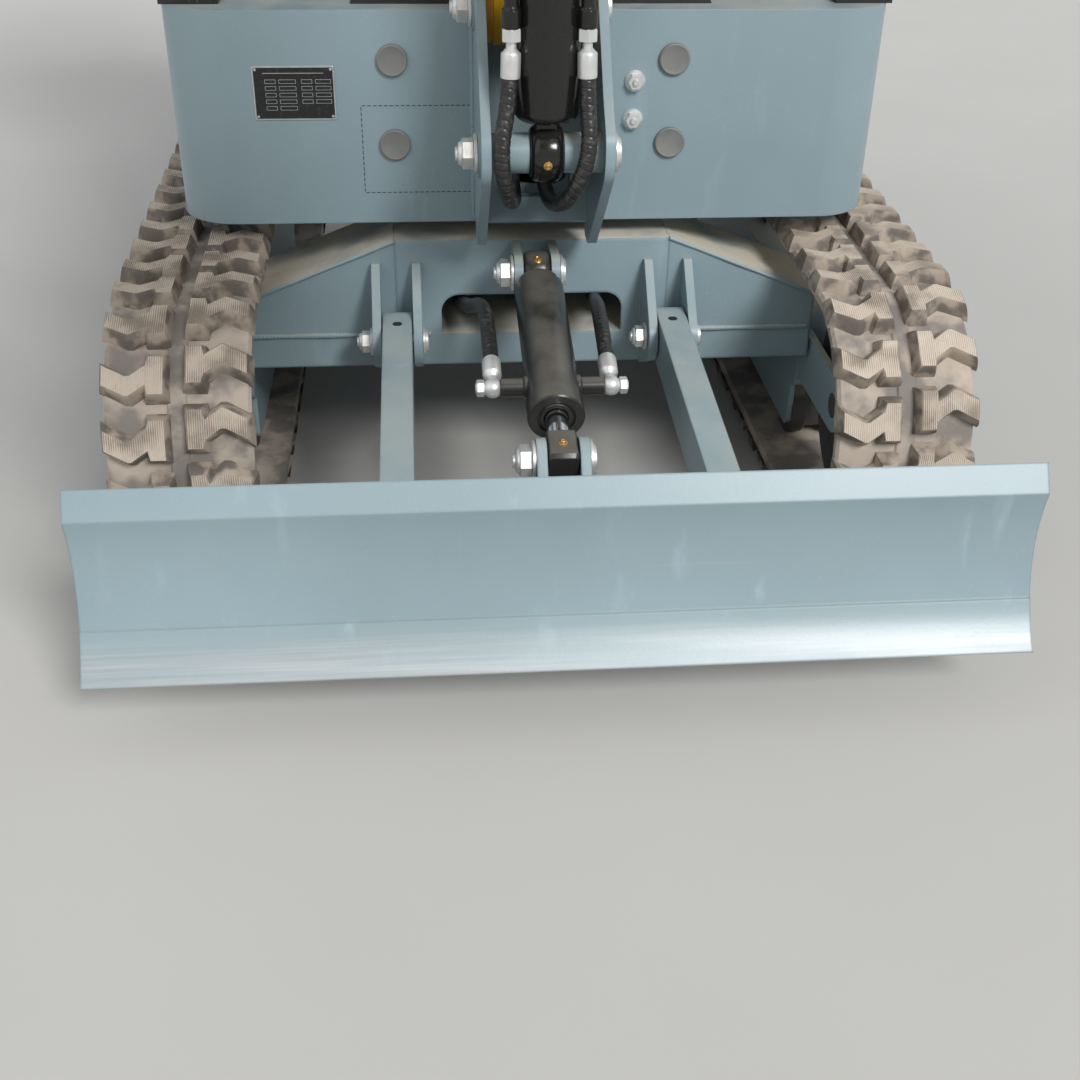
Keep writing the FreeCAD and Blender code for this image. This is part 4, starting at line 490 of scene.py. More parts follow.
for side, sign in SIDES:
    bolts = Work()
    for number in range(HUB_BOLTS):
        angle = 2 * math.pi * number / HUB_BOLTS
        place = (sign * HUB_FACE, DRIVE[0] + BOLT_CIRCLE * math.cos(angle),
                 DRIVE[1] + BOLT_CIRCLE * math.sin(angle))
        bolt_head(bolts, place, (sign, 0, 0), 0.0065, 0.007)
    bolt_head(bolts, (sign * PLUG_FACE, DRIVE[0] - 0.03, DRIVE[1] + 0.03), (sign, 0, 0), 0.008, 0.005)
    bolts.turned((sign * IDLER_FACE, *IDLER), (sign, 0, 0), ((0, 0.017), (0.004, 0.017), (0.006, 0.013)))
    bolts.made(f"wheel_bolts_{side}", "undercarriage", "zinc_pins", zinc)


# Pins: plated steel, each with a flat head, a washer at both ends, and a lock nut
# with a domed collar on the machine's right, where the thread stands out a little.
PINS = (("frame_pins", "undercarriage", (
    (0.191, -0.041, 0.275, 0.034, 0.012), (-0.191, -0.041, 0.275, 0.034, 0.012),
    (0.0, -0.048, 0.375, 0.031, 0.015))),
        ("house_pins", "house", ((0.0, -0.021, 0.712, 0.083, 0.015), (0.0, -0.159, 0.570, 0.083, 0.015))),
        ("boom_pins", "boom", ((0.0, -0.7928, 2.2267, 0.061, 0.015), (0.0, 0.1468, 1.5831, 0.033, 0.015))),
        ("arm_pins", "arm", ((0.0, -1.221, 1.6224, 0.057, 0.015), (0.0, -0.9529, 2.2592, 0.033, 0.015))),
        ("bucket_pins", "bucket", (
            (0.0, -1.3102, 1.430, 0.058, 0.015), (0.0, -1.3424, 1.2784, 0.058, 0.015))))
WASHER, PLAY, SHAFT_PLAY = 0.004, 0.0005, 0.00025

for name, body, rows in PINS:
    pins = Work()
    for x, y, z, half_span, radius in rows:
        reach, shaft = half_span + PLAY + WASHER, radius - SHAFT_PLAY
        pins.turned((x - reach, y, z), (1, 0, 0), ((0, shaft), (2 * reach, shaft)), sides=40)
        for end in (-1, 1):
            pins.turned((x + end * reach, y, z), (-end, 0, 0), (
                (0, radius * 1.5), (0.0006, radius * 1.6), (WASHER - 0.0003, radius * 1.6)), sides=32)
        pins.turned((x + reach, y, z), (1, 0, 0), (
            (0, radius * 1.2), (0.003, radius * 1.2), (0.004, radius * 1.1)))
        pins.turned((x - reach, y, z), (-1, 0, 0), (
            (0, radius * 1.17), (radius * 0.06, radius * 1.27), (radius * 0.88, radius * 1.27),
            (radius * 0.98, radius * 1.12)), sides=6)
        pins.turned((x - reach, y, z), (-1, 0, 0), (
            (radius * 0.9, radius), (radius * 1.1, radius * 0.98), (radius * 1.25, radius * 0.86),
            (radius * 1.3, radius * 0.66)))
        pins.turned((x - reach, y, z), (-1, 0, 0), (
            (radius, radius * 0.58), (radius * 1.45, radius * 0.58), (radius * 1.52, radius * 0.5)))
    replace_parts(pins.made(f"{name}_plated", body, "zinc_pins", zinc), name)


# Hydraulic cylinders: steel barrels, glands and eyes painted black, with ground and chromed rods.
# Each barrel has a waisted neck and a crowned eye, which takes a brass grease nipple.
RAMS = SimpleNamespace(
    blade=SimpleNamespace(
        foot=(-0.048, 0.375), end=(-0.431, 0.294), radius=0.033, length=0.316,
        rod=0.0140, eye=0.036, inserted=0.110),
    boom=SimpleNamespace(
        foot=(-0.159, 0.570), end=(-0.1567, 1.4453), radius=0.0395, length=0.495,
        rod=0.0175, eye=0.040, inserted=0.080),
    arm=SimpleNamespace(
        foot=(0.1468, 1.5831), end=(-0.699, 2.4476), radius=0.035, length=0.880,
        rod=0.0160, eye=0.040, inserted=0.190),
    bucket=SimpleNamespace(
        foot=(-0.9529, 2.2592), end=(-1.3956, 1.497), radius=0.032, length=0.530,
        rod=0.0150, eye=0.040, inserted=0.080))

barrel_black = painted("barrel_black_paint", (26, 26, 25), 0.03, 0.16, 0.05)
dusty_black = painted("dusty_black_paint", (44, 43, 41), 0.16, 0.3, 0.55)
chrome = Finish("hard_chrome", Metallic=1.0, Roughness=0.08)
smear = chrome.noise(90, 4, (1, 1, 0.3))
chrome.set(Base_Color=chrome.mix(smear, (206, 209, 214), (236, 238, 240)),
           Roughness=smear * 0.1 + 0.05)
brass = mottled("brass", (300, 3), (190, 142, 74), (226, 186, 112), Metallic=0.8, Roughness=0.3)
EYE_BORE, SHOULDER = 0.0153, 0.0115
BANJO = (0, -0.2965, 0.3224)
# The blade cylinder's pipe: distance along, above and beside the barrel's line, in mm.
PIPE = ((84, 25, 4), (86, 40, 4), (96, 45, 4), (140, 46, 3), (200, 45, 1), (254, 44, 0))
# The boom cylinder's pipes: how far above and beside the barrel's line.
PIPE_RISE, PIPE_SIDE = 0.024, 0.044


def crowned_eye(work, place, width, radius, finish=0):
    work.turned((-width / 2, *place), (1, 0, 0), (
        (0.0, radius * 0.80), (0.0012, radius * 0.86), (width * 0.12, radius * 0.955),
        (width * 0.28, radius), (width * 0.72, radius), (width * 0.88, radius * 0.955),
        (width - 0.0012, radius * 0.86), (width, radius * 0.80), (width, EYE_BORE), (0.0, EYE_BORE)),
        finish, 40, True)


def grease_nipple(work, place, way, finish):
    work.turned(place, way, ((-0.0015, 0.0054), (0.0008, 0.0054), (0.0012, 0.0046)), finish, 20)
    work.turned(place, way, ((0.0006, 0.0030), (0.0034, 0.0030), (0.0044, 0.0022), (0.0036, 0.0008)),
                finish, 16)


def block_along(work, start, unit, spans, finish=0):
    """Square form along a cylinder: rows of (travel, half width, half height)."""
    rise = Vector((0, -unit.z, unit.y))
    work.skin([[start + unit * travel + Vector((dot[0], 0, 0)) + rise * dot[1]
                for dot in rounded(2 * half, 2 * high, min(half, high) * 0.3, 3)]
               for travel, half, high in spans], finish)


def rounded(width, height, radius, steps=5):
    """Outline of a rectangle with round corners, about its middle."""
    dots = []
    for turn, (side, end) in enumerate(((1, 1), (-1, 1), (-1, -1), (1, -1))):
        for step in range(steps + 1):
            angle = math.pi / 2 * (turn + step / steps)
            dots.append((side * (width / 2 - radius) + radius * math.cos(angle),
                         end * (height / 2 - radius) + radius * math.sin(angle)))
    return dots


def even_line(dots, gap):
    """The same line with its places a fixed gap apart."""
    kept, left = [dots[0]], gap
    for one, two in zip(dots, dots[1:]):
        length = (two - one).length
        while length >= left:
            one = one.lerp(two, left / length)
            kept.append(one)
            length, left = (two - one).length, gap
        left -= length
    return kept


def hose(work, dots, width, finish=0, sides=20):
    """Round form along a line; width gives its radius from distance and angle."""
    across, rings, travel = None, [], 0.0
    for number, dot in enumerate(dots):
        ahead_dot = dots[min(number + 1, len(dots) - 1)]
        way = (ahead_dot - dots[max(number - 1, 0)]).normalized()
        across = way.orthogonal() if across is None else across - way * across.dot(way)
        across.normalize()
        other = way.cross(across)
        rings.append([dot + (across * math.cos(angle) + other * math.sin(angle)) * width(travel, angle)
                      for angle in (2 * math.pi * side / sides for side in range(sides))])
        travel += (ahead_dot - dot).length
    work.skin(rings, finish)


def smooth_line(points):
    """Places every few millimetres along a smooth line that follows these points."""
    curve = bpy.data.curves.new("route", "CURVE")
    curve.dimensions, curve.resolution_u = "3D", 24
    spline = curve.splines.new("NURBS")
    spline.points.add(len(points) - 1)
    for dot, point in zip(spline.points, points):
        dot.co = (*(part / 1000 for part in point), 1)
    spline.order_u, spline.use_endpoint_u = 3, True
    thing = bpy.data.objects.new("route", curve)
    mesh = bpy.data.meshes.new_from_object(thing)
    dots = [vertex.co.copy() for vertex in mesh.vertices]
    bpy.data.objects.remove(thing)
    bpy.data.meshes.remove(mesh)
    bpy.data.curves.remove(curve)
    return dots


for name, ram in vars(RAMS).items():
    foot, end = Vector((0, *ram.foot)), Vector((0, *ram.end))
    unit, reach, radius = (end - foot).normalized(), (end - foot).length, ram.radius
    rise = Vector((0, -unit.z, unit.y))
    eye_radius, mouth, bore = radius * 0.88, ram.length, ram.rod + 0.0006
    neck, shank = eye_radius * 1.2, reach - eye_radius * 1.25
    barrel, rod = Work(), Work()
    crowned_eye(barrel, ram.foot, ram.eye, eye_radius)
    block_along(barrel, foot, unit, (
        (eye_radius * 0.62, ram.eye * 0.38, ram.eye * 0.34),
        (neck + 0.004, ram.eye * 0.38, ram.eye * 0.34)))
    shoulder = [(neck - 0.001 + (1 - math.cos(angle)) * SHOULDER,
                 radius - SHOULDER + math.sin(angle) * SHOULDER)
                for angle in (math.pi / 2 * step / 8 for step in range(9))]
    barrel.turned(foot, unit, [
        (neck - 0.001, radius * 0.3), *shoulder, (mouth - 0.0310, radius),
        (mouth - 0.0300, radius + 0.0018), (mouth - 0.0020, radius + 0.0018),
        (mouth, radius), (mouth, ram.rod + 0.0095),
        (mouth - 0.0030, ram.rod + 0.0080), (mouth - 0.0030, bore), (neck + 0.0260, bore)], 0, 64)
    barrel.turned(foot, unit, (
        (mouth - 0.0035, ram.rod + 0.0055), (mouth - 0.0010, ram.rod + 0.0055),
        (mouth + 0.0002, ram.rod + 0.0020), (mouth - 0.0010, bore)), 0, 48, True)
    rod.turned(foot, unit, ((mouth - ram.inserted, ram.rod), (shank, ram.rod)), 0, 64)
    if name == "blade":
        block_along(rod, foot, unit, (
            (reach - 0.0240, 0.0165, 0.0235), (reach - 0.0225, 0.0178, 0.0250),
            (reach + 0.0180, 0.0178, 0.0250), (reach + 0.0225, 0.0165, 0.0205)), 1)
        grease_nipple(rod, end - rise * 0.0250, -rise, 2)
    else:
        crowned_eye(rod, ram.end, ram.eye, eye_radius * 0.9, 1)
    rod.turned(foot, unit, (
        (shank, ram.rod + 0.0002), (reach - eye_radius * 1.22, ram.eye * 0.44),
        (reach - eye_radius * 0.7, ram.eye * 0.44)), 1, 40)
    nipple_way = {"blade": (0, -0.57, 0.82), "boom": (0, -0.985, -0.174)}.get(name, rise)
    grease_nipple(barrel, foot + Vector(nipple_way) * eye_radius, nipple_way, 2)
    if name == "blade":
        for sign in (1, -1):
            barrel.turned(BANJO, (sign, 0, 0), (
                (0.0280, 0.0140), (0.0340, 0.0140), (0.0365, 0.0112),
                (0.0630, 0.0112), (0.0640, 0.0100)), 0, 32)
            ball = [(0.0730 + 0.0125 * -math.cos(angle), 0.0125 * math.sin(angle))
                    for angle in (math.pi * (0.12 + 0.76 * step / 12) for step in range(13))]
            barrel.turned(BANJO, (sign, 0, 0), ball, 1, 32)
            barrel.turned(BANJO, (sign, 0, 0), (
                (0.0835, 0.0098), (0.0843, 0.0106), (0.0915, 0.0106), (0.0930, 0.0092)), 1, 6)
            barrel.turned(BANJO, (sign, 0, 0), ((0.0925, 0.0072), (0.0940, 0.0060)), 1, 24)
        line = smooth_line([
            tuple(foot * 1000 + unit * travel + rise * above + Vector((side, 0, 0)))
            for travel, above, side in PIPE])
        hose(barrel, even_line(line, 0.004), lambda travel, angle: 0.0060, 0, 20)
    if name == "boom":
        for sign in (1, -1):
            lift = rise * PIPE_RISE + Vector((sign * PIPE_SIDE, 0, 0))
            outward = lift.normalized()
            barrel.turned(foot + unit * 0.435, outward, (
                (0.030, 0.0125), (lift.length - 0.008, 0.0115), (lift.length + 0.004, 0.0095)), 0, 28)
            barrel.turned(foot + lift, unit, ((0.1530, 0.0084), (0.4420, 0.0084)), 0, 28)
            barrel.turned(foot + lift, unit, (
                (0.1495, 0.0100), (0.1510, 0.0112), (0.1700, 0.0112), (0.1730, 0.0085)), 0, 28)
            barrel.turned(foot + lift, unit, (
                (0.1350, 0.0105), (0.1360, 0.0120), (0.1485, 0.0120), (0.1500, 0.0105)), 1, 6)
    paint = dusty_black if name == "blade" else barrel_black
    barrel = barrel.made(f"{name}_cylinder_barrel", f"{name}_barrel", "black_paint", paint, zinc, brass)
    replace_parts(barrel, f"{name}_barrel")
    rod = rod.made(f"{name}_cylinder_rod", f"{name}_rod", "chromed_rod", chrome, paint, brass)
    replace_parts(rod, f"{name}_rod")

# Plated pin ends beside the rods' eyes: body, place, and half the width between the washers.
EYE_PINS = (("blade", RAMS.blade.end, 0.0310), ("boom", RAMS.boom.end, 0.0330),
            ("arm", RAMS.arm.end, 0.0440), ("rocker", RAMS.bucket.end, 0.0570))
for body, place, half_span in EYE_PINS:
    ends = Work()
    for end in (-1, 1):
        ends.turned((end * half_span, *place), (end, 0, 0), (
            (-0.006, 0.015), (0.0001, 0.015), (0.0002, 0.0235), (0.0006, 0.0240), (0.0038, 0.0240),
            (0.0042, 0.0230)), sides=32)
    out = half_span + 0.0042
    ends.turned((out, *place), (1, 0, 0), ((0, 0.0180), (0.003, 0.0180), (0.004, 0.0165)))
    ends.turned((-out, *place), (-1, 0, 0), (
        (0, 0.0176), (0.0010, 0.0190), (0.0135, 0.0190), (0.0150, 0.0170)), sides=6)
    ends.turned((-out, *place), (-1, 0, 0), (
        (0.0140, 0.0150), (0.0170, 0.0146), (0.0190, 0.0120),
        (0.0192, 0.0085), (0.0215, 0.0085), (0.0225, 0.0075)))
    ends.made(f"rod_pin_ends_{body}", body, "zinc_pins", zinc)


# Hydraulic hoses: black rubber in a spiral guard, with plated ferrules at the cylinders.
# The blade's pair come out of the frame's opening, the boom's pair through the bracket's web.
HOSE, GROOVE, GUARD_PITCH, RING_GAP, RINGS_IN_FERRULE = 0.0100, 0.0011, 0.0092, 0.0009, 14
# Each pair: the two bodies it lies between, and where it starts and ends.
BENDS = {"blade": ("undercarriage", "blade_barrel", (0, 0.02, 0.30), (0, -0.25, 0.333)),
         "boom": ("house", "boom_barrel", (0, -0.19, 0.55), (0, -0.184, 0.665))}
# Each hose's route from its cylinder, in mm.
HOSES = (("blade", "left", (
    (72.5, -284.6, 325.4), (74, -200, 346.5), (80, -90, 344), (89, 3, 309), (92, 80, 296))),
         ("blade", "right", (
             (-72.5, -284.6, 325.4), (-72, -200, 346.5), (-74, -90, 350),
             (-93, -8, 308), (-104, 60, 296))),
         ("boom", "left", ((44, -184, 704.2), (45, -184.5, 648), (50, -207, 580), (27, -196, 520),
                           (10, -130, 495), (9, -30, 494), (12, 50, 498))),
         ("boom", "right", (
             (-44, -184, 704.2), (-45, -184.5, 650), (-59, -207, 582), (-48, -194, 524),
             (-36, -130, 499), (-32, -30, 495), (-28, 50, 498))))
FERRULE = ((-0.0010, 0.0060), (0.0060, 0.0062), (0.0085, 0.0085), (0.0110, 0.0112), (0.0125, 0.0118),
           (0.0370, 0.0118), (0.0390, 0.0114), (0.0395, 0.0102))

hose_rubber = Finish("hose_guard_plastic", Roughness=0.36)
grime = hose_rubber.noise(150, 5).ramp(0.5, 0.75)
hose_rubber.set(Base_Color=hose_rubber.mix(grime * 0.35, (40, 40, 40), (122, 117, 108)),
                Roughness=grime * 0.3 + 0.34)
hose_rubber.relief(hose_rubber.noise(700, 2), 0.0003, 0.4)


def guard_width(travel, angle):
    """Flat bands of the wound guard, with a narrow slanting groove between turns."""
    phase = (travel / GUARD_PITCH + angle / (2 * math.pi)) % 1
    return HOSE - GROOVE * math.exp(-(min(phase, 1 - phase) / 0.075) ** 2)


for pair, side, route in HOSES:
    name = f"{pair}_hose_{side}"
    base, end, start_at, end_at = BENDS[pair]
    dots = even_line(smooth_line(route), RING_GAP)
    wrap = Work()
    hose(wrap, dots[RINGS_IN_FERRULE:], guard_width)
    wrapped = wrap.made(name, None, "hose_rubber", hose_rubber, sharp=75)
    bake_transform(wrapped)
    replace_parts(wrapped, "blade_hoses" if base == "undercarriage" else "boom_hoses")
    ferrule = Work()
    ferrule.turned(dots[0], dots[20] - dots[0], FERRULE, sides=32)
    ferrule.made(f"{name}_ferrule", end, "zinc_pins", zinc)


# Front panel's fittings: a blank data plate, round caps over the mounting holes, and two
# flanged nuts on studs; a dashed outline is printed where a notice would be stuck.
PANEL_Y = 0.027
PLATE_CENTRE, PLATE_SIZE = (-0.313, 0.597), (0.106, 0.069)
NOTICE = (-0.228, -0.082, 0.464, 0.580)
STUDS = ((0.134, 0.610), (0.133, 0.560))
CAPS_X, CAPS_Z = (-0.185, 0.185), (0.529, 0.638)
DASH, DASH_WIDTH, DASH_PITCH = 0.0048, 0.0011, 0.0073

cap_plastic = mottled("grey_cap_plastic", (45, 5), (112, 113, 111), (140, 140, 137),
                      ((600, 2), 0.0003, 0.5), Roughness=0.55)
dress(cap_plastic, "panel_caps")
rims = Work()
for x in CAPS_X:
    for z in CAPS_Z:
        rims.turned((x, PANEL_Y - 0.0035, z), (0, -1, 0), (
            (0, 0.0195), (0.0012, 0.0200), (0.0022, 0.0186),
            (0.0010, 0.0150), (0.0008, 0.0020)), sides=40)
rims.made("panel_cap_rims", "house", "black_plastic", cap_plastic)


def panel_form(work, middle, size, radius, rows, finish=0):
    """Flat form on the front panel: (how proud, how far drawn in) rows."""
    work.raised((middle[0], PANEL_Y, middle[1]), (1, 0, 0), (0, 0, 1), (0, -1, 0),
                rounded(*size, radius), rows, finish)


plate_black = Finish("data_plate_black", Roughness=0.3)
plate_black.set(Base_Color=plate_black.mix(
    plate_black.noise(200, 4).ramp(0.55, 0.7), (22, 23, 25), (52, 52, 52)))
plate_silver = mottled(
    "data_plate_silver", (90, 5), (170, 173, 174), (214, 216, 216), Roughness=0.35, Metallic=0.7)
data_plate = Work()
panel_form(data_plate, PLATE_CENTRE, PLATE_SIZE, 0.003, ((0, 0), (0.0010, 0), (0.0013, 0.0004)), 1)
panel_form(data_plate, PLATE_CENTRE, (PLATE_SIZE[0] - 0.004, PLATE_SIZE[1] - 0.004), 0.002,
           ((0.0010, 0), (0.0015, 0.0001)))
for row in range(5):
    height = PLATE_CENTRE[1] + 0.0150 - row * 0.0085
    for x, width in ((-0.030, 0.014), (-0.008, 0.022), (0.017, 0.014), (0.038, 0.020)):
        if row < 4 or x < 0:
            panel_form(data_plate, (PLATE_CENTRE[0] + x, height), (width, 0.0052), 0.0004,
                       ((0.0014, 0), (0.0017, 0)), 1)
            panel_form(data_plate, (PLATE_CENTRE[0] + x, height), (width - 0.0010, 0.0042), 0.0003,
                       ((0.0015, 0), (0.0018, 0)))
panel_form(data_plate, (PLATE_CENTRE[0], PLATE_CENTRE[1] + 0.0255), (0.078, 0.0008), 0.0003,
           ((0.0014, 0), (0.0017, 0)), 1)
for side in (-1, 1):
    for end in (-1, 1):
        rivet = (PLATE_CENTRE[0] + side * 0.0485, PANEL_Y - 0.0014, PLATE_CENTRE[1] + end * 0.0300)
        data_plate.turned(rivet, (0, -1, 0), ((0, 0.0020), (0.0006, 0.0018), (0.0010, 0.0010)), 1, 16)
data_plate.made("data_plate", "house", "chromed_rod", plate_black, plate_silver)

print_black = mottled("printed_line_black", (80, 4), (26, 28, 30), (58, 62, 64), Roughness=0.5)
dashes = Work()
left, right, low, high = NOTICE
across, up_count = round((right - left) / DASH_PITCH), round((high - low) / DASH_PITCH)
for number in range(across):
    x = left + (number + 0.5) * (right - left) / across
    for z in (low, high):
        panel_form(dashes, (x, z), (DASH, DASH_WIDTH), 0.0003, ((0, 0), (0.0002, 0)))
for number in range(up_count):
    z = low + (number + 0.5) * (high - low) / up_count
    for x in (left, right):
        panel_form(dashes, (x, z), (DASH_WIDTH, DASH), 0.0003, ((0, 0), (0.0002, 0)))
dashes.made("notice_outline", "house", "black_plastic", print_black)

studs = Work()
for x, z in STUDS:
    studs.turned((x, PANEL_Y, z), (0, -1, 0), ((0, 0.0140), (0.0015, 0.0140), (0.0040, 0.0116)), sides=32)
    studs.turned((x, PANEL_Y - 0.002, z), (0, -1, 0), ((0, 0.0114), (0.0075, 0.0114), (0.0090, 0.0098)),
                 sides=6)
    studs.turned((x, PANEL_Y - 0.008, z), (0, -1, 0), ((0, 0.0042), (0.0060, 0.0042), (0.0068, 0.0034)))
studs.made("panel_studs", "house", "zinc_pins", zinc)

amber = Finish("amber_reflector", Roughness=0.2, Coat_Weight=0.6)
# Each facet's crest is painted lighter amber, a painted glint; the same wave also gives the facets'
# relief.
facets_and_glint = amber.y.wave(0.004) * amber.z.wave(0.004)
amber.set(Base_Color=amber.mix(facets_and_glint, (206, 96, 18), (240, 148, 40)))
amber.relief(facets_and_glint, 0.0006, 0.6)
for side, sign in SIDES:
    strip = Work()
    strip.raised((sign * 0.4815, 0.150, 0.550), (0, 1, 0), (0, 0, 1), (sign, 0, 0),
                 rounded(0.030, 0.070, 0.004), ((0, 0), (0.0030, 0), (0.0042, 0.0015)))
    strip.made(f"side_reflector_{side}", "house", "yellow_paint", amber)


# Welds: rippled beads along the seams of frame and bracket, painted over.
# Each is laid by hand, uneven in its width.
# Each seam is on both sides: x and z where it starts, x and z where it ends, and its radius.
WELDS = (("undercarriage", frame_paint, 0.0145, (
            (0.145, 0.261, 0.405, 0.261, 0.0042), (0.192, 0.3985, 0.409, 0.312, 0.0030),
            (0.225, 0.222, 0.225, 0.360, 0.0034), (0.157, 0.222, 0.157, 0.360, 0.0034))),
         ("house", house_paint, 0.0265, ((0.081, 0.426, 0.081, 0.698, 0.0042),)))
RIPPLE = 0.0052


def bead(work, start, end, radius):
    start, end = Vector(start), Vector(end)
    length = (end - start).length
    steps = round(length / 0.0016)
    dots = [start.lerp(end, step / steps) for step in range(steps + 1)]

    def width(travel, angle):
        ripple = abs(math.sin(math.pi * travel / RIPPLE))
        return radius * (0.72 + 0.22 * ripple + 0.10 * math.sin(travel * 61 + start.x * 9))

    hose(work, dots, width, sides=10)


for body, paint, y, rows in WELDS:
    seam = Work()
    for start_x, start_z, end_x, end_z, radius in rows:
        for sign in (-1, 1):
            bead(seam, (sign * start_x, y, start_z), (sign * end_x, y, end_z), radius)
    seam.made(f"weld_beads_{body}", body, "blue_grey_paint", paint, sharp=60)


# Blade arms: square tube, each with a drain slot near its rear end, drawn as a flat dark patch of painted
# shade.
slot_painted_shade = mottled("slot_shadow", (200, 3), (20, 22, 23), (44, 46, 46), Roughness=0.9)
ARM_DROP, ARM_RUN, ARM_X, ARM_PIVOT, ARM_HALF = 37, 409, 0.191, (-0.041, 0.275), 0.033
slope = math.atan2(ARM_DROP, ARM_RUN)
to_blade = Vector((0, -math.cos(slope), -math.sin(slope)))
top_way = Vector((0, -math.sin(slope), math.cos(slope)))
slots = Work()
for x in (-ARM_X, ARM_X):
    slots.raised(Vector((x, *ARM_PIVOT)) + to_blade * 0.012 + top_way * ARM_HALF, (1, 0, 0), to_blade,
                 top_way, rounded(0.0130, 0.0110, 0.0052), ((-0.001, 0), (0.0003, 0)))
slots.made("arm_drain_slot_shades", "blade", "black_plastic", slot_painted_shade)


# Seat: foam cushion and back under black vinyl, sewn in panels, on a boxed steel base.
vinyl = Finish("seat_vinyl", Roughness=0.5)
creases = vinyl.noise(30, 6, (1, 2.5, 1))
grain = vinyl.node("TexVoronoi", {}, {"Vector": vinyl.at, "Scale": 900.0})
vinyl.set(Base_Color=vinyl.mix(creases.ramp(0.45, 0.7), (34, 34, 36), (56, 55, 55)),
          Roughness=creases * 0.2 + 0.38)
vinyl.relief(grain * 0.6 + creases, 0.0007, 0.55)


SHRINK, VOXEL, SWELL, PRESSURE, STEPS = 0.965, 0.006, 0.014, 4.0, 20


def plump(name, node):
    """Soft piece in a solid's place: remeshed, blown up like a cushion, and held near the solid."""
    low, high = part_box(node)
    middle = (low + high) / 2
    thing = placed(name, nodes[node].data.copy())
    for vertex in thing.data.vertices:
        vertex.co = middle + (vertex.co - middle) * SHRINK
    remesh = thing.modifiers.new("remesh", "REMESH")
    remesh.mode, remesh.voxel_size = "VOXEL", VOXEL
    settle(thing)
    rest = [vertex.co.copy() for vertex in thing.data.vertices]
    cloth = thing.modifiers.new("cloth", "CLOTH")
    cloth.settings.use_pressure, cloth.settings.uniform_pressure_force = True, PRESSURE
    cloth.settings.effector_weights.gravity = 0
    for step in range(1, STEPS + 1):
        bpy.context.scene.frame_set(step)
    settle(thing)
    bpy.context.scene.frame_set(1)
    for vertex, before in zip(thing.data.vertices, rest):
        moved = vertex.co - before
        if moved.length > SWELL:
            vertex.co = before + moved.normalized() * SWELL
    return thing


def settle(thing):
    """Apply the modifiers of a piece to its mesh."""
    shaped = bpy.data.meshes.new_from_object(thing.evaluated_get(bpy.context.evaluated_depsgraph_get()))
    thing.modifiers.clear()
    thing.data = shaped
    thing.data.name = thing.name


def seamed(thing, finish, flutes):
    """Press sewn channels into a cushion's face; each is (axis, where, depth, half width)."""
    for vertex in thing.data.vertices:
        for axis, where, depth, half in flutes:
            away = abs(vertex.co[axis] - where)
            if away < half * 2.5:
                vertex.co += vertex.normal * (-depth * math.exp(-(away / half) ** 2))
    smooth = thing.modifiers.new("finer", "SUBSURF")
    smooth.levels = smooth.render_levels = 1
    settle(thing)
    for face in thing.data.polygons:
        face.use_smooth = True
    thing.data.materials.clear()
    thing.data.materials.append(finish.material)


CUSHIONS = (("seat_cushion_pad", "seat_cushion", (
    (0, -0.135, 0.007, 0.005), (0, 0.135, 0.007, 0.005),
    (1, 0.400, 0.005, 0.005), (1, 0.490, 0.005, 0.005))),
            ("seat_back_pad", "seat_back", (
                (0, -0.130, 0.007, 0.005), (0, 0.130, 0.007, 0.005),
                (2, 1.250, 0.005, 0.005), (2, 1.360, 0.005, 0.005))))
for name, node, flutes in CUSHIONS:
    cushion = plump(name, node)
    seamed(cushion, vinyl, flutes)
    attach(cushion, "house")
    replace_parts(cushion, node)


# Controls: two joysticks with rubber bellows on the consoles, and two travel levers
# whose rubber grips and ribbed pedals stand on the deck.
rubber = mottled("control_rubber", (90, 4), (28, 28, 29), (50, 49, 47), ((500, 3), 0.0003, 0.5),
                 Roughness=0.6)
shaft_steel = painted("lever_shaft_paint", (30, 30, 31), 0.1, 0.3, 0.1)
red_button = mottled("button_plastic", (200, 2), (168, 32, 26), (190, 46, 36), Roughness=0.3)
STICK_X, STICK_Y, BOOT_FOOT, DECK_TOP = 0.335, 0.325, 0.990, 0.700
PEDAL_X, PEDAL_TOP, RIBS, RIB_PITCH = 0.062, 0.7255, 9, 0.0085
GRIP_RINGS = ((0.000, 0.0125, 0.000), (0.006, 0.0165, 0.0005), (0.020, 0.0180, 0.0012),
              (0.030, 0.0172, 0.0018), (0.038, 0.0186, 0.0022), (0.048, 0.0174, 0.0028),
              (0.058, 0.0184, 0.0034), (0.070, 0.0168, 0.0038), (0.082, 0.0172, 0.0040),
              (0.098, 0.0200, 0.0015), (0.112, 0.0208, 0.0000), (0.120, 0.0180, -0.0012),
              (0.124, 0.0120, -0.0020))
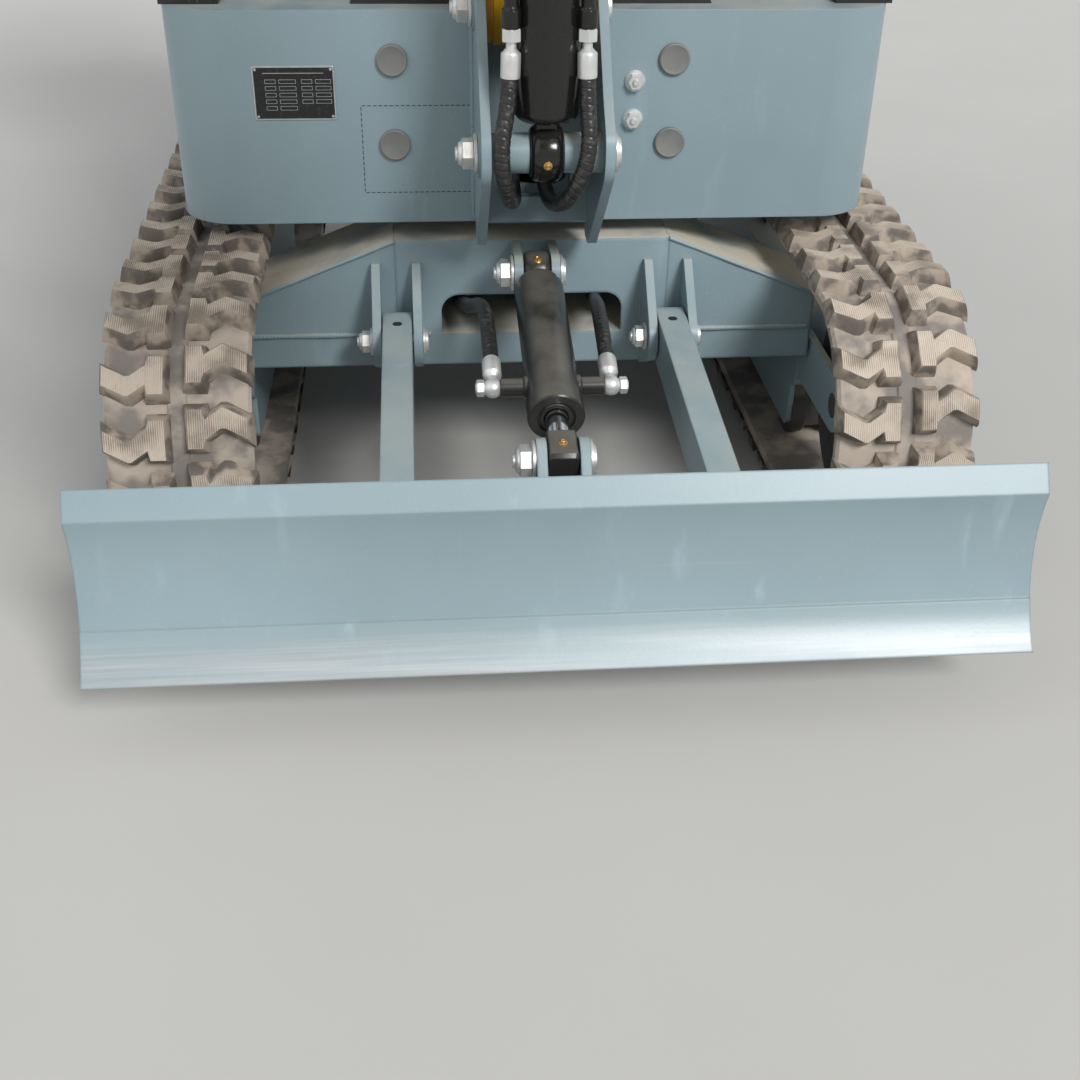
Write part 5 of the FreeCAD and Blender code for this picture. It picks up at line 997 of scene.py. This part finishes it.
for side, sign in SIDES:
    stick = Work()
    x = sign * STICK_X
    boot = [(0.0, 0.0290), (0.003, 0.0290)]
    for fold in range(6):
        wide = 0.0268 - fold * 0.0028
        boot += [(0.005 + fold * 0.007, wide - 0.0035), (0.0085 + fold * 0.007, wide)]
    stick.turned((x, STICK_Y, BOOT_FOOT), (0, 0, 1), [*boot, (0.046, 0.0085)], 0, 32)
    stick.turned((x, STICK_Y, BOOT_FOOT + 0.040), (0, 0, 1), ((0, 0.006), (0.045, 0.006)), 1, 16)
    grip = [[(x + radius * 0.86 * math.cos(angle), STICK_Y + lean + radius * math.sin(angle),
              BOOT_FOOT + 0.078 + rise) for angle in (2 * math.pi * turn / 28 for turn in range(28))]
            for rise, radius, lean in GRIP_RINGS]
    stick.skin(grip, 0)
    stick.turned((x, STICK_Y - 0.001, BOOT_FOOT + 0.200), (0, 0, 1), (
        (0, 0.006), (0.0035, 0.006), (0.0045, 0.0045)), 2, 20)
    stick = stick.made(
        f"joystick_{side}", "house", "black_plastic", rubber, shaft_steel, red_button, sharp=50)
    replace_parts(stick, "joysticks")
    lever = Work()
    foot, way = Vector((sign * 0.082, 0.170, 1.085)), Vector((sign * 0.024, 0.044, 0.220)).normalized()
    rows = [(-0.003, 0.0150), (0.0, 0.0168)]
    for ring in range(9):
        rows += [(0.006 + ring * 0.0105, 0.0158), (0.0095 + ring * 0.0105, 0.0172)]
    lever.turned(foot, way, [*rows, (0.104, 0.0165), (0.1085, 0.0130), (0.110, 0.0070)], 0, 28)
    for rib in range(RIBS):
        lever.raised((sign * PEDAL_X, 0.046 + rib * RIB_PITCH, PEDAL_TOP), (1, 0, 0), (0, 1, 0), (0, 0, 1),
                     rounded(0.062, 0.0050, 0.0012, 2), ((0, 0), (0.0030, 0), (0.0040, 0.0008)))
    lever.made(f"lever_grip_{side}", "house", "black_plastic", rubber, sharp=50)


# Floor mat: ribbed rubber, laid on the deck between the consoles and behind the front panel.
MAT_HALF, MAT_FRONT, MAT_REAR, MAT_PITCH = 0.236, 0.064, 0.258, 0.012
mat = Work()
mat.raised((0, 0, DECK_TOP), (1, 0, 0), (0, 1, 0), (0, 0, 1),
           [(-MAT_HALF, MAT_FRONT), (MAT_HALF, MAT_FRONT), (MAT_HALF, MAT_REAR), (-MAT_HALF, MAT_REAR)],
           ((0, 0), (0.0030, 0), (0.0036, 0.0008)))
for rib in range(round(2 * MAT_HALF / MAT_PITCH) - 1):
    mat.raised((-MAT_HALF + MAT_PITCH * (rib + 1), (MAT_FRONT + MAT_REAR) / 2, DECK_TOP + 0.0034),
               (1, 0, 0), (0, 1, 0), (0, 0, 1), rounded(0.0055, MAT_REAR - MAT_FRONT - 0.016, 0.0015, 2),
               ((0, 0), (0.0018, 0.0004), (0.0024, 0.0012)))
mat.made("floor_mat", "house", "black_plastic", rubber)


# Covers and canopy: moulded black plastic consoles and grilles, a satin roof,
# and posts whose feet are bolted down at their corners.
moulded = Finish("moulded_black_plastic", Roughness=0.55)
dusting = moulded.normal_z().ramp(0.6, 1.0) * moulded.noise(16, 5).ramp(0.35, 0.7)
moulded.set(Base_Color=moulded.mix(dusting * 0.5, moulded.mix(
    moulded.noise(5, 3), (34, 35, 36), (46, 47, 48)), (150, 143, 130)),
            Roughness=dusting * 0.3 + 0.5)
moulded.relief(moulded.noise(800, 2), 0.0003, 0.7)
dress(moulded, "console_left", "console_right", "hood_grilles")
roof_plastic = Finish("satin_roof_plastic", Roughness=0.35)
film = roof_plastic.normal_z().ramp(0.7, 1.0) * roof_plastic.noise(7, 6).ramp(0.35, 0.7)
roof_plastic.set(Base_Color=roof_plastic.mix(film * 0.4, (40, 41, 43), (146, 140, 128)),
                 Roughness=film * 0.35 + 0.32)
roof_plastic.relief(roof_plastic.noise(420, 3), 0.0004, 0.5)
dress(roof_plastic, "canopy_roof")

POST_FEET, FOOT_BOLT = ((0.442, 0.102, 0.710), (0.372, 0.810, 1.140)), 0.027
feet = Work()
for x, y, z in POST_FEET:
    for side in (-1, 1):
        for along in (-FOOT_BOLT, FOOT_BOLT):
            for across in (-FOOT_BOLT, FOOT_BOLT):
                bolt_head(feet, (side * x + across, y + along, z), (0, 0, 1), 0.0070, 0.0075)
feet.made("canopy_bolts", "house", "zinc_pins", zinc)


# Side infills: small bent plates that close the engine bay under the hood's front corners.
for side, sign in SIDES:
    infill = Work()
    infill.raised((sign * 0.4745, 0.9465, 0.7345), (0, 1, 0), (0, 0, 1), (sign, 0, 0),
                  rounded(0.0875, 0.0715, 0.003), ((0, 0), (0.0060, 0), (0.0070, 0.0010)))
    infill.made(f"bay_infill_{side}", "house", "blue_grey_paint", house_paint)


# Hood's latch: a round black lock with a turning key bar, at the middle of its rear edge.
LATCH = Vector((0.0, 1.4215, 0.835))
latch = Work()
latch.turned(LATCH, (0, 1, 0), ((-0.004, 0.024), (0.0035, 0.024), (0.0055, 0.021), (0.0045, 0.014)),
             sides=40)
latch.raised(LATCH + Vector((0, 0.004, 0)), (1, 0, 0), (0, 0, 1), (0, 1, 0),
             rounded(0.0075, 0.026, 0.0035), ((0, 0), (0.0045, 0), (0.0058, 0.0012)))
latch.made("hood_latch", "engine_hood", "black_plastic", moulded)
